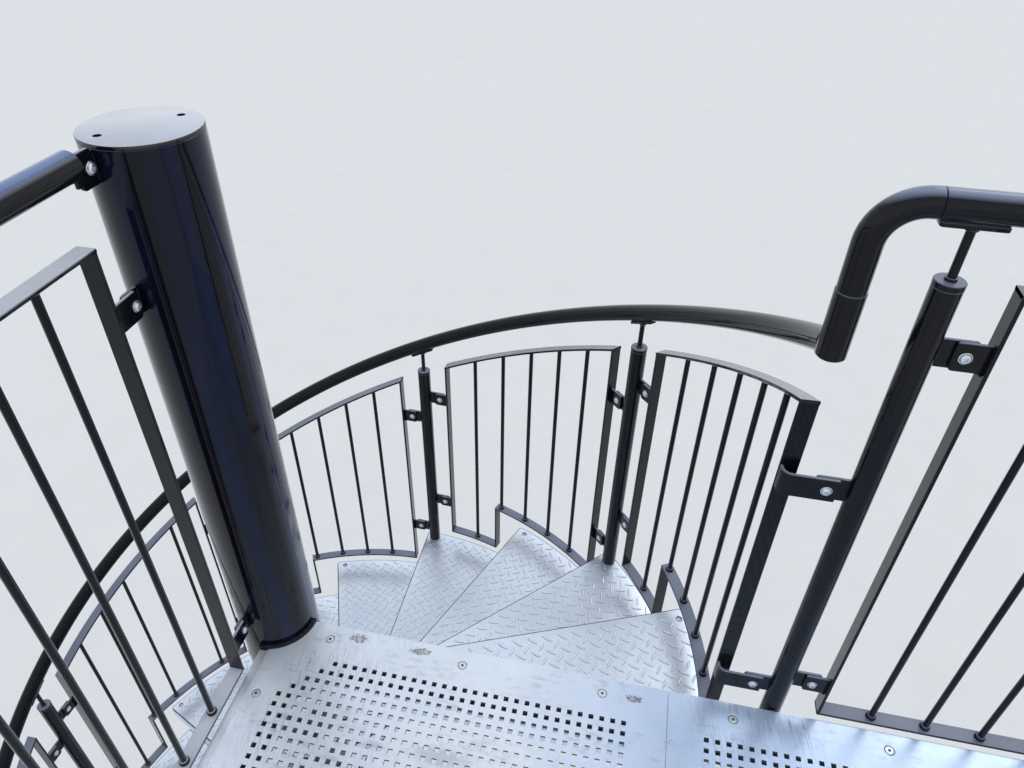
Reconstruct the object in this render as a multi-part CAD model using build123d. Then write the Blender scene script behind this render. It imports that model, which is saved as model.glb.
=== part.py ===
from build123d import *
import os
from math import asin, atan, cos, degrees, pi, radians, sin, sqrt

# A spiral stair that climbs clockwise seen from above: galvanised treads on a black tubular
# newel, a rectangular landing in one corner and black bolted balustrade panels.
# The origin is on the newel's axis at the ground. X runs along the landing's front
# edge, Y points away from the wall that the landing meets, and Z is up.
# Angles are in degrees about the newel from +X. Treads are counted from the landing
# down, and the stair goes down as the angle grows.

# Storey and turn
FLOOR_LEVEL = 2870
RISERS = 14
TURN_PER_TREAD = 22.5
FIRST_NOSING_ANGLE = 22.9
RISE = FLOOR_LEVEL / RISERS

# Newel
NEWEL_DIAMETER = 168.3
NEWEL_WALL = 5
NEWEL_OVER_RAIL = 12
CAP_THICKNESS = 6
CAP_HOLE_DIAMETER = 12
CAP_HOLE_CIRCLE = 120
CAP_HOLE_ANGLE = 60
CAP_CHAMFER = 1
FLANGE_DIAMETER = 320
FLANGE_THICKNESS = 12
ANCHOR_HOLE_DIAMETER = 14
ANCHOR_CIRCLE = 260
ANCHOR_COUNT = 6

# Treads
TREAD_RADIUS = 995
TREAD_PLATE = 4
TREAD_FLANGE = 50
TREAD_OVERLAP = 30
NOSING_OFFSET = 18
NOSING_CORNER_RADIUS = 12
COLLAR_WALL = 6
COLLAR_HEIGHT = 70
FIT = 0.3
WELD_BITE = 2
POST_HOLE_DIAMETER = 14

# Posts, lugs and handrail
RAIL_FROM_TREAD_EDGE = 21
POST_DIAMETER = 40
RAIL_OVER_POST = 99
POST_BEHIND_NOSING = 31.5
POST_STUD_DIAMETER = 12
POST_STUD_LENGTH = 24
FOOT_DIAMETER = 100
FOOT_THICKNESS = 8
ROD_DIAMETER = 12
HANDRAIL_DIAMETER = 40
HANDRAIL_SIDES = 16
HANDRAIL_OVER_NOSING = 883
HANDRAIL_JOINT_ANGLE = 151.3
HANDRAIL_END_ANGLE = 316
HANDRAIL_CLEARANCE = 0.3
SADDLE_LENGTH = 80
SADDLE_WIDTH = 20
SADDLE_THICKNESS = 6
CORNER_SADDLE_TURN = -45
LUG_THICKNESS = 6
LUG_HEIGHT = 45
LUG_BOLT_REACH = 52
LUG_END = 16
HOOK_RADIUS = 15

# Balustrade panels
FLAT_WIDTH = 30
FLAT_THICKNESS = 6
UPRIGHT_WIDTH = 28
INFILL_DIAMETER = 12
INFILL_SIDES = 8
INFILL_COUNT = 5
PANEL_BELOW_HANDRAIL = 106
BOTTOM_RAIL_OVER_TREAD = 75
FLAT_FROM_POST = 82
STEP_FROM_UPPER_POST = 29.4
LOWER_END_FOOT_LUG = 141
LOWER_END_HEAD_LUG = 77
UPPER_END_FOOT_LUG = 185
UPPER_END_HEAD_LUG = 171

# Landing
LANDING_WIDTH = 1748
LANDING_DEPTH = 1075
DECK_THICKNESS = 5
DECK_SIDE_INSET = 20
DECK_FRONT_INSET = 4
DECK_JOINT = 873
DECK_GAP = 2
BEAM_DEPTH = 160
BEAM_FLANGE = 50
BEAM_THICKNESS = 6
JOINT_DEPTH = 100
JOINT_FLANGE = 80
CUFF_THICKNESS = 8
CUFF_ABOVE_DECK = 8
WALL_HOLE_DIAMETER = 14
WALL_HOLE_SPACING = 1500
WALL_HOLE_ROWS = 50
WALL_HOLE_DROP = 35

# Landing balustrade
STAIR_POST_PAST_RAIL = 111
RAIL_OUTSIDE = 20
LANDING_RAIL_HEIGHT = 1088
LANDING_POST_DROP = 150
LANDING_PANEL_BELOW_RAIL = 103
LANDING_PANEL_BOTTOM = 5
LANDING_BEND_RADIUS = 60
LANDING_FOOT_LUG = 85
LANDING_HEAD_LUG = 105
LANDING_LUG_REACH = 55
LANDING_FLAT_FROM_POST = 86
LANDING_BAR_SPACING = 101
WALL_POST_INSET = 30
CLEAT_HALF_WIDTH = 30
CLEAT_HEIGHT = 110
NEWEL_LUG_OUT = 100
NEWEL_LUG_END = 9
NEWEL_FLAT_OUT = 150
NEWEL_FOOT_LUG = 70
NEWEL_HEAD_LUG = 118
NEWEL_LUG_BELOW_RAIL = 18
LEFT_RAIL_START = 125
DROP_LEG_SHARE = 0.6
ELBOW_ARM = 66
STRAIGHT_PAST_CORNER = 20
RAIL_TAB_HEIGHT = 42

# Values that follow from the sizes above
NEWEL_RADIUS = NEWEL_DIAMETER / 2
RAIL_CIRCLE = TREAD_RADIUS - RAIL_FROM_TREAD_EDGE
STAIR_POST_X = RAIL_CIRCLE + STAIR_POST_PAST_RAIL
POST_RADIUS = POST_DIAMETER / 2
RAIL_RADIUS = HANDRAIL_DIAMETER / 2
NEWEL_TOP = FLOOR_LEVEL + LANDING_RAIL_HEIGHT + NEWEL_OVER_RAIL
COLLAR_BORE = NEWEL_RADIUS + FIT
COLLAR_RADIUS = COLLAR_BORE + COLLAR_WALL
CUFF_RADIUS = COLLAR_BORE + CUFF_THICKNESS
HELIX_PITCH = RISE * 360 / TURN_PER_TREAD
INFILL_RADIUS = INFILL_DIAMETER / 2
POST_LAG = degrees(asin((NOSING_OFFSET + POST_BEHIND_NOSING) / RAIL_CIRCLE))
FLAT_LAG = degrees(FLAT_FROM_POST / RAIL_CIRCLE)
RAIL_SLOPE = degrees(atan(HELIX_PITCH / (2 * pi * RAIL_CIRCLE)))
DECK_TOP = FLOOR_LEVEL
FLANGE_TOP = DECK_TOP - DECK_THICKNESS
BEAM_BOTTOM = FLANGE_TOP - BEAM_DEPTH
RIGHT_LINE = LANDING_WIDTH + RAIL_OUTSIDE
WALL_POST_Y = -LANDING_DEPTH + WALL_POST_INSET
LANDING_RAIL_LEVEL = FLOOR_LEVEL + LANDING_RAIL_HEIGHT
LANDING_POST_TOP = LANDING_RAIL_HEIGHT - RAIL_OVER_POST
LANDING_PANEL_TOP = LANDING_RAIL_HEIGHT - LANDING_PANEL_BELOW_RAIL
LANDING_LUGS = (LANDING_PANEL_BOTTOM + LANDING_FOOT_LUG, LANDING_PANEL_TOP - LANDING_HEAD_LUG)
NEWEL_LUGS = (LANDING_PANEL_BOTTOM + NEWEL_FOOT_LUG, LANDING_PANEL_TOP - NEWEL_HEAD_LUG)
NEWEL_RAIL_LUG = LANDING_RAIL_HEIGHT - NEWEL_LUG_BELOW_RAIL
PANEL_TOP_OVER_NOSING = HANDRAIL_OVER_NOSING - PANEL_BELOW_HANDRAIL
DROP_X = sqrt(RAIL_CIRCLE**2 - RAIL_OUTSIDE**2)
ELBOW_END_X = DROP_X + ELBOW_ARM
CORNER_JOINT_Y = RAIL_OUTSIDE - LANDING_BEND_RADIUS - STRAIGHT_PAST_CORNER

# Lug heights over the tread of the post they bolt to
UPPER_END_LUGS = (
    BOTTOM_RAIL_OVER_TREAD - RISE + UPPER_END_FOOT_LUG,
    PANEL_TOP_OVER_NOSING - UPPER_END_HEAD_LUG,
)
LOWER_END_LUGS = (
    BOTTOM_RAIL_OVER_TREAD + LOWER_END_FOOT_LUG,
    PANEL_TOP_OVER_NOSING - LOWER_END_HEAD_LUG,
)

# How far a cutting shape runs past what it cuts
PAST = 10

parts = {}


def level(tread):
    """Height of a tread's top, where 0 is the landing and RISERS is the ground."""
    return FLOOR_LEVEL - tread * RISE


def nosing_angle(tread):
    return FIRST_NOSING_ANGLE + (tread - 1) * TURN_PER_TREAD


def post_angle(tread):
    return nosing_angle(tread) - POST_LAG


def nosing_line(past_post):
    """Height of the line through the nosings over a posted tread, at an angle past its post."""
    return -RISE * (past_post - POST_LAG) / TURN_PER_TREAD


def rail_height(angle):
    """Height of the handrail's centre over the ground."""
    return level(0) + nosing_line(angle - post_angle(0)) + HANDRAIL_OVER_NOSING


def block(x, y, z):
    """A box from its low and high limits on each axis."""
    size = (x[1] - x[0], y[1] - y[0], z[1] - z[0])
    middle = ((x[0] + x[1]) / 2, (y[0] + y[1]) / 2, (z[0] + z[1]) / 2)
    return Pos(*middle) * Box(*size)


def rod(radius, x, y, low, high):
    return Pos(x, y, (low + high) / 2) * Cylinder(radius, high - low)


def bar(x, y, low, high):
    """An upright infill rod, drawn with few sides."""
    return Pos(x, y, low) * extrude(RegularPolygon(INFILL_RADIUS, INFILL_SIDES), high - low)


def ring(inner, outer, low, high):
    return rod(outer, 0, 0, low, high) - rod(inner, 0, 0, low - PAST, high + PAST)


def fuse(pieces):
    return pieces[0].fuse(*pieces[1:])


def around(angle, rise=0):
    """Turns a shape about the newel and lifts it."""
    return Pos(0, 0, rise) * Rot(0, 0, angle)


def helix_path(radius, start, end, height_at):
    """The edge of a helix down the stair between two angles, drawn from its low end."""
    climb = RISE * (end - start) / TURN_PER_TREAD
    edge = Helix(HELIX_PITCH, climb, radius, lefthand=True)
    return around(end, height_at(end)) * edge


def swept(section, path):
    start = path @ 0
    radial = Vector(start.X, start.Y, 0).normalized()
    plane = Plane(origin=start, x_dir=radial, z_dir=path % 0)
    return sweep(plane * section, path=path, is_frenet=True)


def newel():
    tube = ring(NEWEL_RADIUS - NEWEL_WALL, NEWEL_RADIUS, FLANGE_THICKNESS, NEWEL_TOP - CAP_THICKNESS)
    for height in (*NEWEL_LUGS, NEWEL_RAIL_LUG):
        tube += newel_lug(FLOOR_LEVEL + height)
    parts["newel_column"] = tube
    under = NEWEL_TOP - CAP_THICKNESS
    cap = rod(NEWEL_RADIUS, 0, 0, under, NEWEL_TOP)
    for side in (-1, 1):
        hole = rod(CAP_HOLE_DIAMETER / 2, side * CAP_HOLE_CIRCLE / 2, 0, under - PAST, NEWEL_TOP + PAST)
        cap -= Rot(0, 0, CAP_HOLE_ANGLE) * hole
    upper_edges = cap.edges().filter_by(GeomType.CIRCLE).group_by(Axis.Z)[-1]
    parts["newel_cap"] = chamfer(upper_edges.sort_by(SortBy.RADIUS)[-1], CAP_CHAMFER)
    flange = rod(FLANGE_DIAMETER / 2, 0, 0, 0, FLANGE_THICKNESS)
    hole = rod(ANCHOR_HOLE_DIAMETER / 2, 0, 0, -PAST, FLANGE_THICKNESS + PAST)
    for place in PolarLocations(ANCHOR_CIRCLE / 2, ANCHOR_COUNT):
        flange -= place * hole
    parts["newel_base_flange"] = flange


def newel_lug(height):
    """A plate welded on the newel that stands out towards the wall on the left rail's line."""
    start = -sqrt(NEWEL_RADIUS**2 - RAIL_OUTSIDE**2) + WELD_BITE
    end = -NEWEL_LUG_OUT - LUG_END
    return block(
        (-RAIL_OUTSIDE - LUG_THICKNESS, -RAIL_OUTSIDE),
        (end, start),
        (height - LUG_HEIGHT / 2, height + LUG_HEIGHT / 2),
    )


def tread_outline(inset):
    """The plan of a tread whose front edge looks along +X, cut back from its edges."""
    outer = TREAD_RADIUS - inset
    front = -NOSING_OFFSET - inset
    back = -NOSING_OFFSET - TREAD_OVERLAP + inset
    inner = NEWEL_RADIUS / 2
    front_out = Vector(sqrt(outer**2 - front**2), front)
    back_reach = sqrt(outer**2 - back**2)
    back_out = Vector(back_reach, back).rotate(Axis.Z, -TURN_PER_TREAD)
    back_in = Vector(inner, back).rotate(Axis.Z, -TURN_PER_TREAD)
    middle = Vector(outer, 0).rotate(Axis.Z, -TURN_PER_TREAD / 2)
    edges = [
        Line(Vector(inner, front), front_out),
        ThreePointArc(front_out, middle, back_out),
        Line(back_out, back_in),
        Line(back_in, Vector(inner, front)),
    ]
    return make_face(edges)


def tread():
    """One folded checker plate tread on its collar, with its top at height 0."""
    pan = extrude(tread_outline(0), -TREAD_FLANGE)
    nose = pan.edges().filter_by(Axis.Z).sort_by_distance((TREAD_RADIUS, -NOSING_OFFSET, 0))[0]
    pan = fillet(nose, NOSING_CORNER_RADIUS)
    inside = extrude(Pos(0, 0, -TREAD_PLATE) * tread_outline(TREAD_PLATE), -TREAD_FLANGE)
    pan -= inside
    collar = rod(COLLAR_RADIUS, 0, 0, -COLLAR_HEIGHT, 0)
    pan = pan + collar - rod(COLLAR_BORE, 0, 0, -COLLAR_HEIGHT - PAST, PAST)
    hole = around(-POST_LAG) * rod(POST_HOLE_DIAMETER / 2, RAIL_CIRCLE, 0, -TREAD_PLATE - PAST, PAST)
    return pan - hole


def stair_treads():
    one = tread()
    for count in range(1, RISERS):
        name = f"tread_{RISERS - count:02d}"
        parts[name] = around(nosing_angle(count), level(count)) * one


def lug_pair_plates(side, heights, reach, own):
    """Lugs beside a post at the origin whose line runs along Y. The post's own plates lie
    on the outer side of the line, and the panel's on the inner side."""
    plates = []
    for height in heights:
        if own:
            x = (0, LUG_THICKNESS)
            y = (POST_RADIUS - WELD_BITE, reach + LUG_END)
        else:
            x = (-LUG_THICKNESS, 0)
            y = (reach - LUG_END, FLAT_FROM_POST)
        y = tuple(sorted((side * y[0], side * y[1])))
        plates.append(block(x, y, (height - LUG_HEIGHT / 2, height + LUG_HEIGHT / 2)))
    return plates


def stair_post(on_ground=False):
    """A post at the origin on its tread, with lugs for both panels, and the rod and saddle
    that carry the handrail."""
    slope = cos(radians(RAIL_SLOPE))
    rail = nosing_line(0) + HANDRAIL_OVER_NOSING
    top = rail - RAIL_OVER_POST
    saddle_middle = rail - (RAIL_RADIUS + HANDRAIL_CLEARANCE + SADDLE_THICKNESS / 2) / slope
    saddle = Box(SADDLE_WIDTH, SADDLE_LENGTH, SADDLE_THICKNESS)
    pieces = [
        rod(POST_RADIUS, 0, 0, 0, top),
        rod(ROD_DIAMETER / 2, 0, 0, top - WELD_BITE, saddle_middle),
        Pos(0, 0, saddle_middle) * Rot(-RAIL_SLOPE, 0, 0) * saddle,
    ]
    pieces += lug_pair_plates(-1, LOWER_END_LUGS, LUG_BOLT_REACH, True)
    if on_ground:
        pieces.append(rod(FOOT_DIAMETER / 2, 0, 0, 0, FOOT_THICKNESS))
    else:
        pieces += lug_pair_plates(1, UPPER_END_LUGS, LUG_BOLT_REACH, True)
        pieces.append(rod(POST_STUD_DIAMETER / 2, 0, 0, -POST_STUD_LENGTH, WELD_BITE))
    return Pos(RAIL_CIRCLE, 0, 0) * fuse(pieces)


def stair_posts():
    on_tread = stair_post()
    for count in range(2, RISERS, 2):
        name = f"post_tread_{RISERS - count:02d}"
        parts[name] = around(post_angle(count), level(count)) * on_tread
    parts["post_foot"] = around(post_angle(RISERS), 0) * stair_post(on_ground=True)


def arc_flat(start, end, top):
    """A flat bar bent on its edge to the rail's circle, with its upper face at one height."""
    outer = RAIL_CIRCLE + FLAT_WIDTH / 2
    band = ring(RAIL_CIRCLE - FLAT_WIDTH / 2, outer, top - FLAT_THICKNESS, top)
    middle = (start + end) / 2
    half = (end - start) / 2
    reach = 2 * outer
    wedge = Polyline(
        (0, 0),
        (reach * cos(radians(half)), reach * sin(radians(half))),
        (reach * cos(radians(half)), -reach * sin(radians(half))),
        close=True,
    )
    slab = extrude(Pos(0, 0, top - FLAT_THICKNESS) * make_face(wedge), FLAT_THICKNESS)
    return band & (Rot(0, 0, middle) * slab)


def upright_flat(angle, low, high):
    """A flat bar on end across the rail's circle."""
    flat = block(
        (RAIL_CIRCLE - UPRIGHT_WIDTH / 2, RAIL_CIRCLE + UPRIGHT_WIDTH / 2),
        (-FLAT_THICKNESS / 2, FLAT_THICKNESS / 2),
        (low, high),
    )
    return Rot(0, 0, angle) * flat


def top_rail_middle(angle):
    return nosing_line(angle) + PANEL_TOP_OVER_NOSING - FLAT_THICKNESS / 2


def stair_panel(from_landing=False):
    """A panel below a post at angle 0 whose tread is at height 0, down to the next post,
    with a foot that steps down beside the tread between them."""
    first = FLAT_LAG
    last = 2 * TURN_PER_TREAD - FLAT_LAG
    step = STEP_FROM_UPPER_POST
    spacing = (last - first) / (INFILL_COUNT + 1)
    upper_rail = BOTTOM_RAIL_OVER_TREAD - RISE
    lower_rail = BOTTOM_RAIL_OVER_TREAD - 2 * RISE
    half_flat = degrees(FLAT_THICKNESS / 2 / RAIL_CIRCLE)
    top_path = helix_path(RAIL_CIRCLE, first - half_flat, last + half_flat, top_rail_middle)
    pieces = [
        swept(Rectangle(FLAT_WIDTH, FLAT_THICKNESS), top_path),
        upright_flat(first, upper_rail - FLAT_THICKNESS, top_rail_middle(first)),
        upright_flat(last, lower_rail - FLAT_THICKNESS, top_rail_middle(last)),
        upright_flat(step, lower_rail - FLAT_THICKNESS, upper_rail),
        arc_flat(first - half_flat, step + half_flat, upper_rail),
        arc_flat(step - half_flat, last + half_flat, lower_rail),
    ]
    for count in range(1, INFILL_COUNT + 1):
        angle = first + spacing * count
        low = (upper_rail if angle < step else lower_rail) - FLAT_THICKNESS / 2
        pieces.append(Rot(0, 0, angle) * bar(RAIL_CIRCLE, 0, low, top_rail_middle(angle)))
    to_next_post = around(2 * TURN_PER_TREAD, -2 * RISE) * Pos(RAIL_CIRCLE, 0, 0)
    lower_plates = lug_pair_plates(-1, LOWER_END_LUGS, LUG_BOLT_REACH, False)
    pieces += [to_next_post * plate for plate in lower_plates]
    if from_landing:
        pieces += hooked_lugs(first)
    else:
        upper_plates = lug_pair_plates(1, UPPER_END_LUGS, LUG_BOLT_REACH, False)
        pieces += [Pos(RAIL_CIRCLE, 0, 0) * plate for plate in upper_plates]
    return fuse(pieces)


def hooked_lugs(first):
    """Plates that leave the top panel's end flat towards the landing and bend to its post,
    given in the panel's own place."""
    flat_near = RAIL_CIRCLE * sin(radians(post_angle(0) + first)) - FLAT_THICKNESS / 2 + WELD_BITE
    half = LUG_THICKNESS / 2
    line = RAIL_OUTSIDE - half
    start_x = RAIL_CIRCLE - UPRIGHT_WIDTH / 2 + half
    end_x = STAIR_POST_X - LUG_BOLT_REACH + LUG_END
    z = (0, LUG_HEIGHT)
    upright = block((start_x - half, start_x + half), (line + HOOK_RADIUS, flat_near), z)
    arm = block((start_x + HOOK_RADIUS, end_x), (line - half, line + half), z)
    quarter = block((-2 * HOOK_RADIUS, 0), (-2 * HOOK_RADIUS, 0), z)
    corner = ring(HOOK_RADIUS - half, HOOK_RADIUS + half, *z) & quarter
    hook = fuse([Pos(start_x + HOOK_RADIUS, line + HOOK_RADIUS, 0) * corner, upright, arm])
    turn = Rot(0, 0, -post_angle(0))
    return [turn * Pos(0, 0, height - LUG_HEIGHT / 2) * hook for height in UPPER_END_LUGS]


def stair_panels():
    parts[f"stair_panel_{RISERS // 2}"] = around(post_angle(0), level(0)) * stair_panel(from_landing=True)
    common = stair_panel()
    for count in range(2, RISERS, 2):
        name = f"stair_panel_{(RISERS - count) // 2}"
        parts[name] = around(post_angle(count), level(count)) * common


def rail_section():
    """The round tube's outline, drawn with few sides."""
    return RegularPolygon(RAIL_RADIUS, HANDRAIL_SIDES)


def handrail():
    """The stair's rail in two lengths, coped to the leg that drops from the landing's rail."""
    drop_angle = degrees(asin(RAIL_OUTSIDE / RAIL_CIRCLE))
    meet = rail_height(drop_angle)
    leg_end = meet - RAIL_RADIUS
    bend_start = LANDING_RAIL_LEVEL - LANDING_BEND_RADIUS
    leg = DROP_LEG_SHARE * (bend_start - leg_end)
    parts["handrail_drop"] = Pos(DROP_X, RAIL_OUTSIDE, leg_end) * extrude(rail_section(), leg)
    reach = 2 * HANDRAIL_DIAMETER
    cope = rod(RAIL_RADIUS + HANDRAIL_CLEARANCE, DROP_X, RAIL_OUTSIDE, meet - reach, meet + reach)
    upper = swept(rail_section(), helix_path(RAIL_CIRCLE, drop_angle, HANDRAIL_JOINT_ANGLE, rail_height))
    parts["handrail_upper"] = upper - cope
    lower_path = helix_path(RAIL_CIRCLE, HANDRAIL_JOINT_ANGLE, HANDRAIL_END_ANGLE, rail_height)
    parts["handrail_lower"] = swept(rail_section(), lower_path)
    parts["handrail_elbow"] = bent_tube(
        Vector(DROP_X, RAIL_OUTSIDE, leg_end + leg),
        Vector(DROP_X, RAIL_OUTSIDE, LANDING_RAIL_LEVEL),
        Vector(ELBOW_END_X, RAIL_OUTSIDE, LANDING_RAIL_LEVEL),
    )


def bent_tube(start, corner, end):
    """A handrail length along two straight lines with a square bend between them."""
    first = (corner - start).normalized()
    second = (end - corner).normalized()
    bend_start = corner - first * LANDING_BEND_RADIUS
    bend_end = corner + second * LANDING_BEND_RADIUS
    bend_middle = corner + (second - first) * LANDING_BEND_RADIUS * (1 - sqrt(0.5))
    path = Line(start, bend_start)
    path += ThreePointArc(bend_start, bend_middle, bend_end)
    path += Line(bend_end, end)
    return sweep(Plane(origin=start, z_dir=first) * rail_section(), path=path)


def landing_handrail():
    parts["landing_handrail_front"] = bent_tube(
        Vector(ELBOW_END_X, RAIL_OUTSIDE, LANDING_RAIL_LEVEL),
        Vector(RIGHT_LINE, RAIL_OUTSIDE, LANDING_RAIL_LEVEL),
        Vector(RIGHT_LINE, CORNER_JOINT_Y, LANDING_RAIL_LEVEL),
    )
    parts["landing_handrail_right"] = level_bar(RIGHT_LINE, CORNER_JOINT_Y, -LANDING_DEPTH)
    left = level_bar(-RAIL_OUTSIDE, -LEFT_RAIL_START, -LANDING_DEPTH)
    tab_middle = FLOOR_LEVEL + (NEWEL_RAIL_LUG + LANDING_RAIL_HEIGHT) / 2
    tab = block(
        (-RAIL_OUTSIDE, -RAIL_OUTSIDE + LUG_THICKNESS),
        (-LEFT_RAIL_START - WELD_BITE, -NEWEL_LUG_OUT + NEWEL_LUG_END),
        (tab_middle - RAIL_TAB_HEIGHT / 2, tab_middle + RAIL_TAB_HEIGHT / 2),
    )
    parts["landing_handrail_left"] = left + tab


def level_bar(x, start_y, end_y):
    return Pos(x, start_y, LANDING_RAIL_LEVEL) * Rot(90, 0, 0) * extrude(rail_section(), start_y - end_y)


def beam(length, web_past_flange=0):
    """A channel along X with its web outside on the front and its upper flange's top at
    height 0. The web can run past the flanges at both ends, between its neighbours' flanges."""
    web_x = (-web_past_flange, length + web_past_flange)
    web_z = (-BEAM_DEPTH + BEAM_THICKNESS, -BEAM_THICKNESS)
    channel = block(web_x, (-BEAM_THICKNESS, 0), web_z)
    for low in (-BEAM_THICKNESS, -BEAM_DEPTH):
        channel += block((0, length), (-BEAM_FLANGE, 0), (low, low + BEAM_THICKNESS))
    return channel


def landing():
    clear = rod(CUFF_RADIUS + FIT, 0, 0, BEAM_BOTTOM - PAST, DECK_TOP + PAST)
    side_length = LANDING_DEPTH - 2 * BEAM_FLANGE
    side = beam(side_length, BEAM_FLANGE - BEAM_THICKNESS)
    parts["landing_beam_front"] = Pos(0, 0, FLANGE_TOP) * beam(LANDING_WIDTH) - clear
    wall = Pos(LANDING_WIDTH, -LANDING_DEPTH, FLANGE_TOP) * Rot(0, 0, 180) * beam(LANDING_WIDTH)
    for column in (-1, 1):
        for row in (0, 1):
            place = Pos(
                LANDING_WIDTH / 2 + column * WALL_HOLE_SPACING / 2,
                -LANDING_DEPTH,
                FLANGE_TOP - WALL_HOLE_DROP - row * WALL_HOLE_ROWS,
            )
            wall -= place * Rot(90, 0, 0) * Cylinder(WALL_HOLE_DIAMETER / 2, 2 * PAST)
    parts["landing_beam_wall"] = wall
    parts["landing_beam_right"] = Pos(LANDING_WIDTH, -BEAM_FLANGE, FLANGE_TOP) * Rot(0, 0, -90) * side
    left_place = Pos(0, -LANDING_DEPTH + BEAM_FLANGE, FLANGE_TOP) * Rot(0, 0, 90)
    parts["landing_beam_left"] = left_place * side - clear
    joint_web = block(
        (DECK_JOINT - BEAM_THICKNESS / 2, DECK_JOINT + BEAM_THICKNESS / 2),
        (-LANDING_DEPTH + BEAM_FLANGE, -BEAM_FLANGE),
        (FLANGE_TOP - JOINT_DEPTH, FLANGE_TOP),
    )
    joint_flange = block(
        (DECK_JOINT - JOINT_FLANGE / 2, DECK_JOINT + JOINT_FLANGE / 2),
        (-LANDING_DEPTH + BEAM_FLANGE, -BEAM_FLANGE),
        (FLANGE_TOP - BEAM_THICKNESS, FLANGE_TOP),
    )
    parts["landing_beam_joint"] = joint_web + joint_flange
    deck_y = (-LANDING_DEPTH, -DECK_FRONT_INSET)
    deck_z = (FLANGE_TOP, DECK_TOP)
    left_x = (DECK_SIDE_INSET, DECK_JOINT - DECK_GAP / 2)
    right_x = (DECK_JOINT + DECK_GAP / 2, LANDING_WIDTH - DECK_SIDE_INSET)
    parts["landing_deck_left"] = block(left_x, deck_y, deck_z) - clear
    parts["landing_deck_right"] = block(right_x, deck_y, deck_z)
    cuff_z = (BEAM_BOTTOM, DECK_TOP + CUFF_ABOVE_DECK)
    quarter = block((0, 2 * CUFF_RADIUS), (-2 * CUFF_RADIUS, 0), cuff_z)
    parts["landing_cuff"] = ring(COLLAR_BORE, CUFF_RADIUS, *cuff_z) & quarter


def landing_post(lug_directions, cleats, rail_along):
    """A landing post at the origin, with lugs, the rail's saddle, and cleats on the beams
    whose ends are given along the beam's face."""
    saddle_top = LANDING_RAIL_HEIGHT - RAIL_RADIUS - HANDRAIL_CLEARANCE
    saddle = block(
        (-SADDLE_LENGTH / 2, SADDLE_LENGTH / 2),
        (-SADDLE_WIDTH / 2, SADDLE_WIDTH / 2),
        (saddle_top - SADDLE_THICKNESS, saddle_top),
    )
    pieces = [
        rod(POST_RADIUS, 0, 0, -LANDING_POST_DROP, LANDING_POST_TOP),
        rod(ROD_DIAMETER / 2, 0, 0, LANDING_POST_TOP - WELD_BITE, saddle_top - WELD_BITE),
        Rot(0, 0, rail_along) * saddle,
    ]
    for direction, heights, outer in lug_directions:
        for height in heights:
            plate = block(
                (POST_RADIUS - WELD_BITE, LANDING_LUG_REACH + LUG_END),
                (0, LUG_THICKNESS) if outer else (-LUG_THICKNESS, 0),
                (height - LUG_HEIGHT / 2, height + LUG_HEIGHT / 2),
            )
            pieces.append(Rot(0, 0, direction) * plate)
    for direction, ends in cleats:
        cleat = block(
            ends,
            (-RAIL_OUTSIDE, -RAIL_OUTSIDE + LUG_THICKNESS),
            (-LANDING_POST_DROP, -LANDING_POST_DROP + CLEAT_HEIGHT),
        )
        pieces.append(Rot(0, 0, direction) * cleat)
    return Pos(0, 0, FLOOR_LEVEL) * fuse(pieces)


def straight_panel(length, start_lugs, end_lugs):
    """A flat landing panel along X from the outer face of its first end flat, in which
    each set of lugs gives how far its plates reach and on which side they lie."""
    low = LANDING_PANEL_BOTTOM
    high = LANDING_PANEL_TOP
    wide = (-FLAT_WIDTH / 2, FLAT_WIDTH / 2)
    pieces = [
        block((0, length), wide, (low, low + FLAT_THICKNESS)),
        block((0, length), wide, (high - FLAT_THICKNESS, high)),
        block((0, FLAT_THICKNESS), wide, (low, high)),
        block((length - FLAT_THICKNESS, length), wide, (low, high)),
    ]
    gaps = round((length - FLAT_THICKNESS) / LANDING_BAR_SPACING)
    spacing = (length - FLAT_THICKNESS) / gaps
    for count in range(1, gaps):
        x = FLAT_THICKNESS / 2 + count * spacing
        pieces.append(bar(x, 0, low + WELD_BITE, high - WELD_BITE))
    start_reach, start_heights, start_y = start_lugs
    for height in start_heights:
        z = (height - LUG_HEIGHT / 2, height + LUG_HEIGHT / 2)
        pieces.append(block((-start_reach, WELD_BITE), start_y, z))
    end_reach, end_heights, end_y = end_lugs
    for height in end_heights:
        z = (height - LUG_HEIGHT / 2, height + LUG_HEIGHT / 2)
        pieces.append(block((length - WELD_BITE, length + end_reach), end_y, z))
    return Pos(0, 0, FLOOR_LEVEL) * fuse(pieces)


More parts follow.
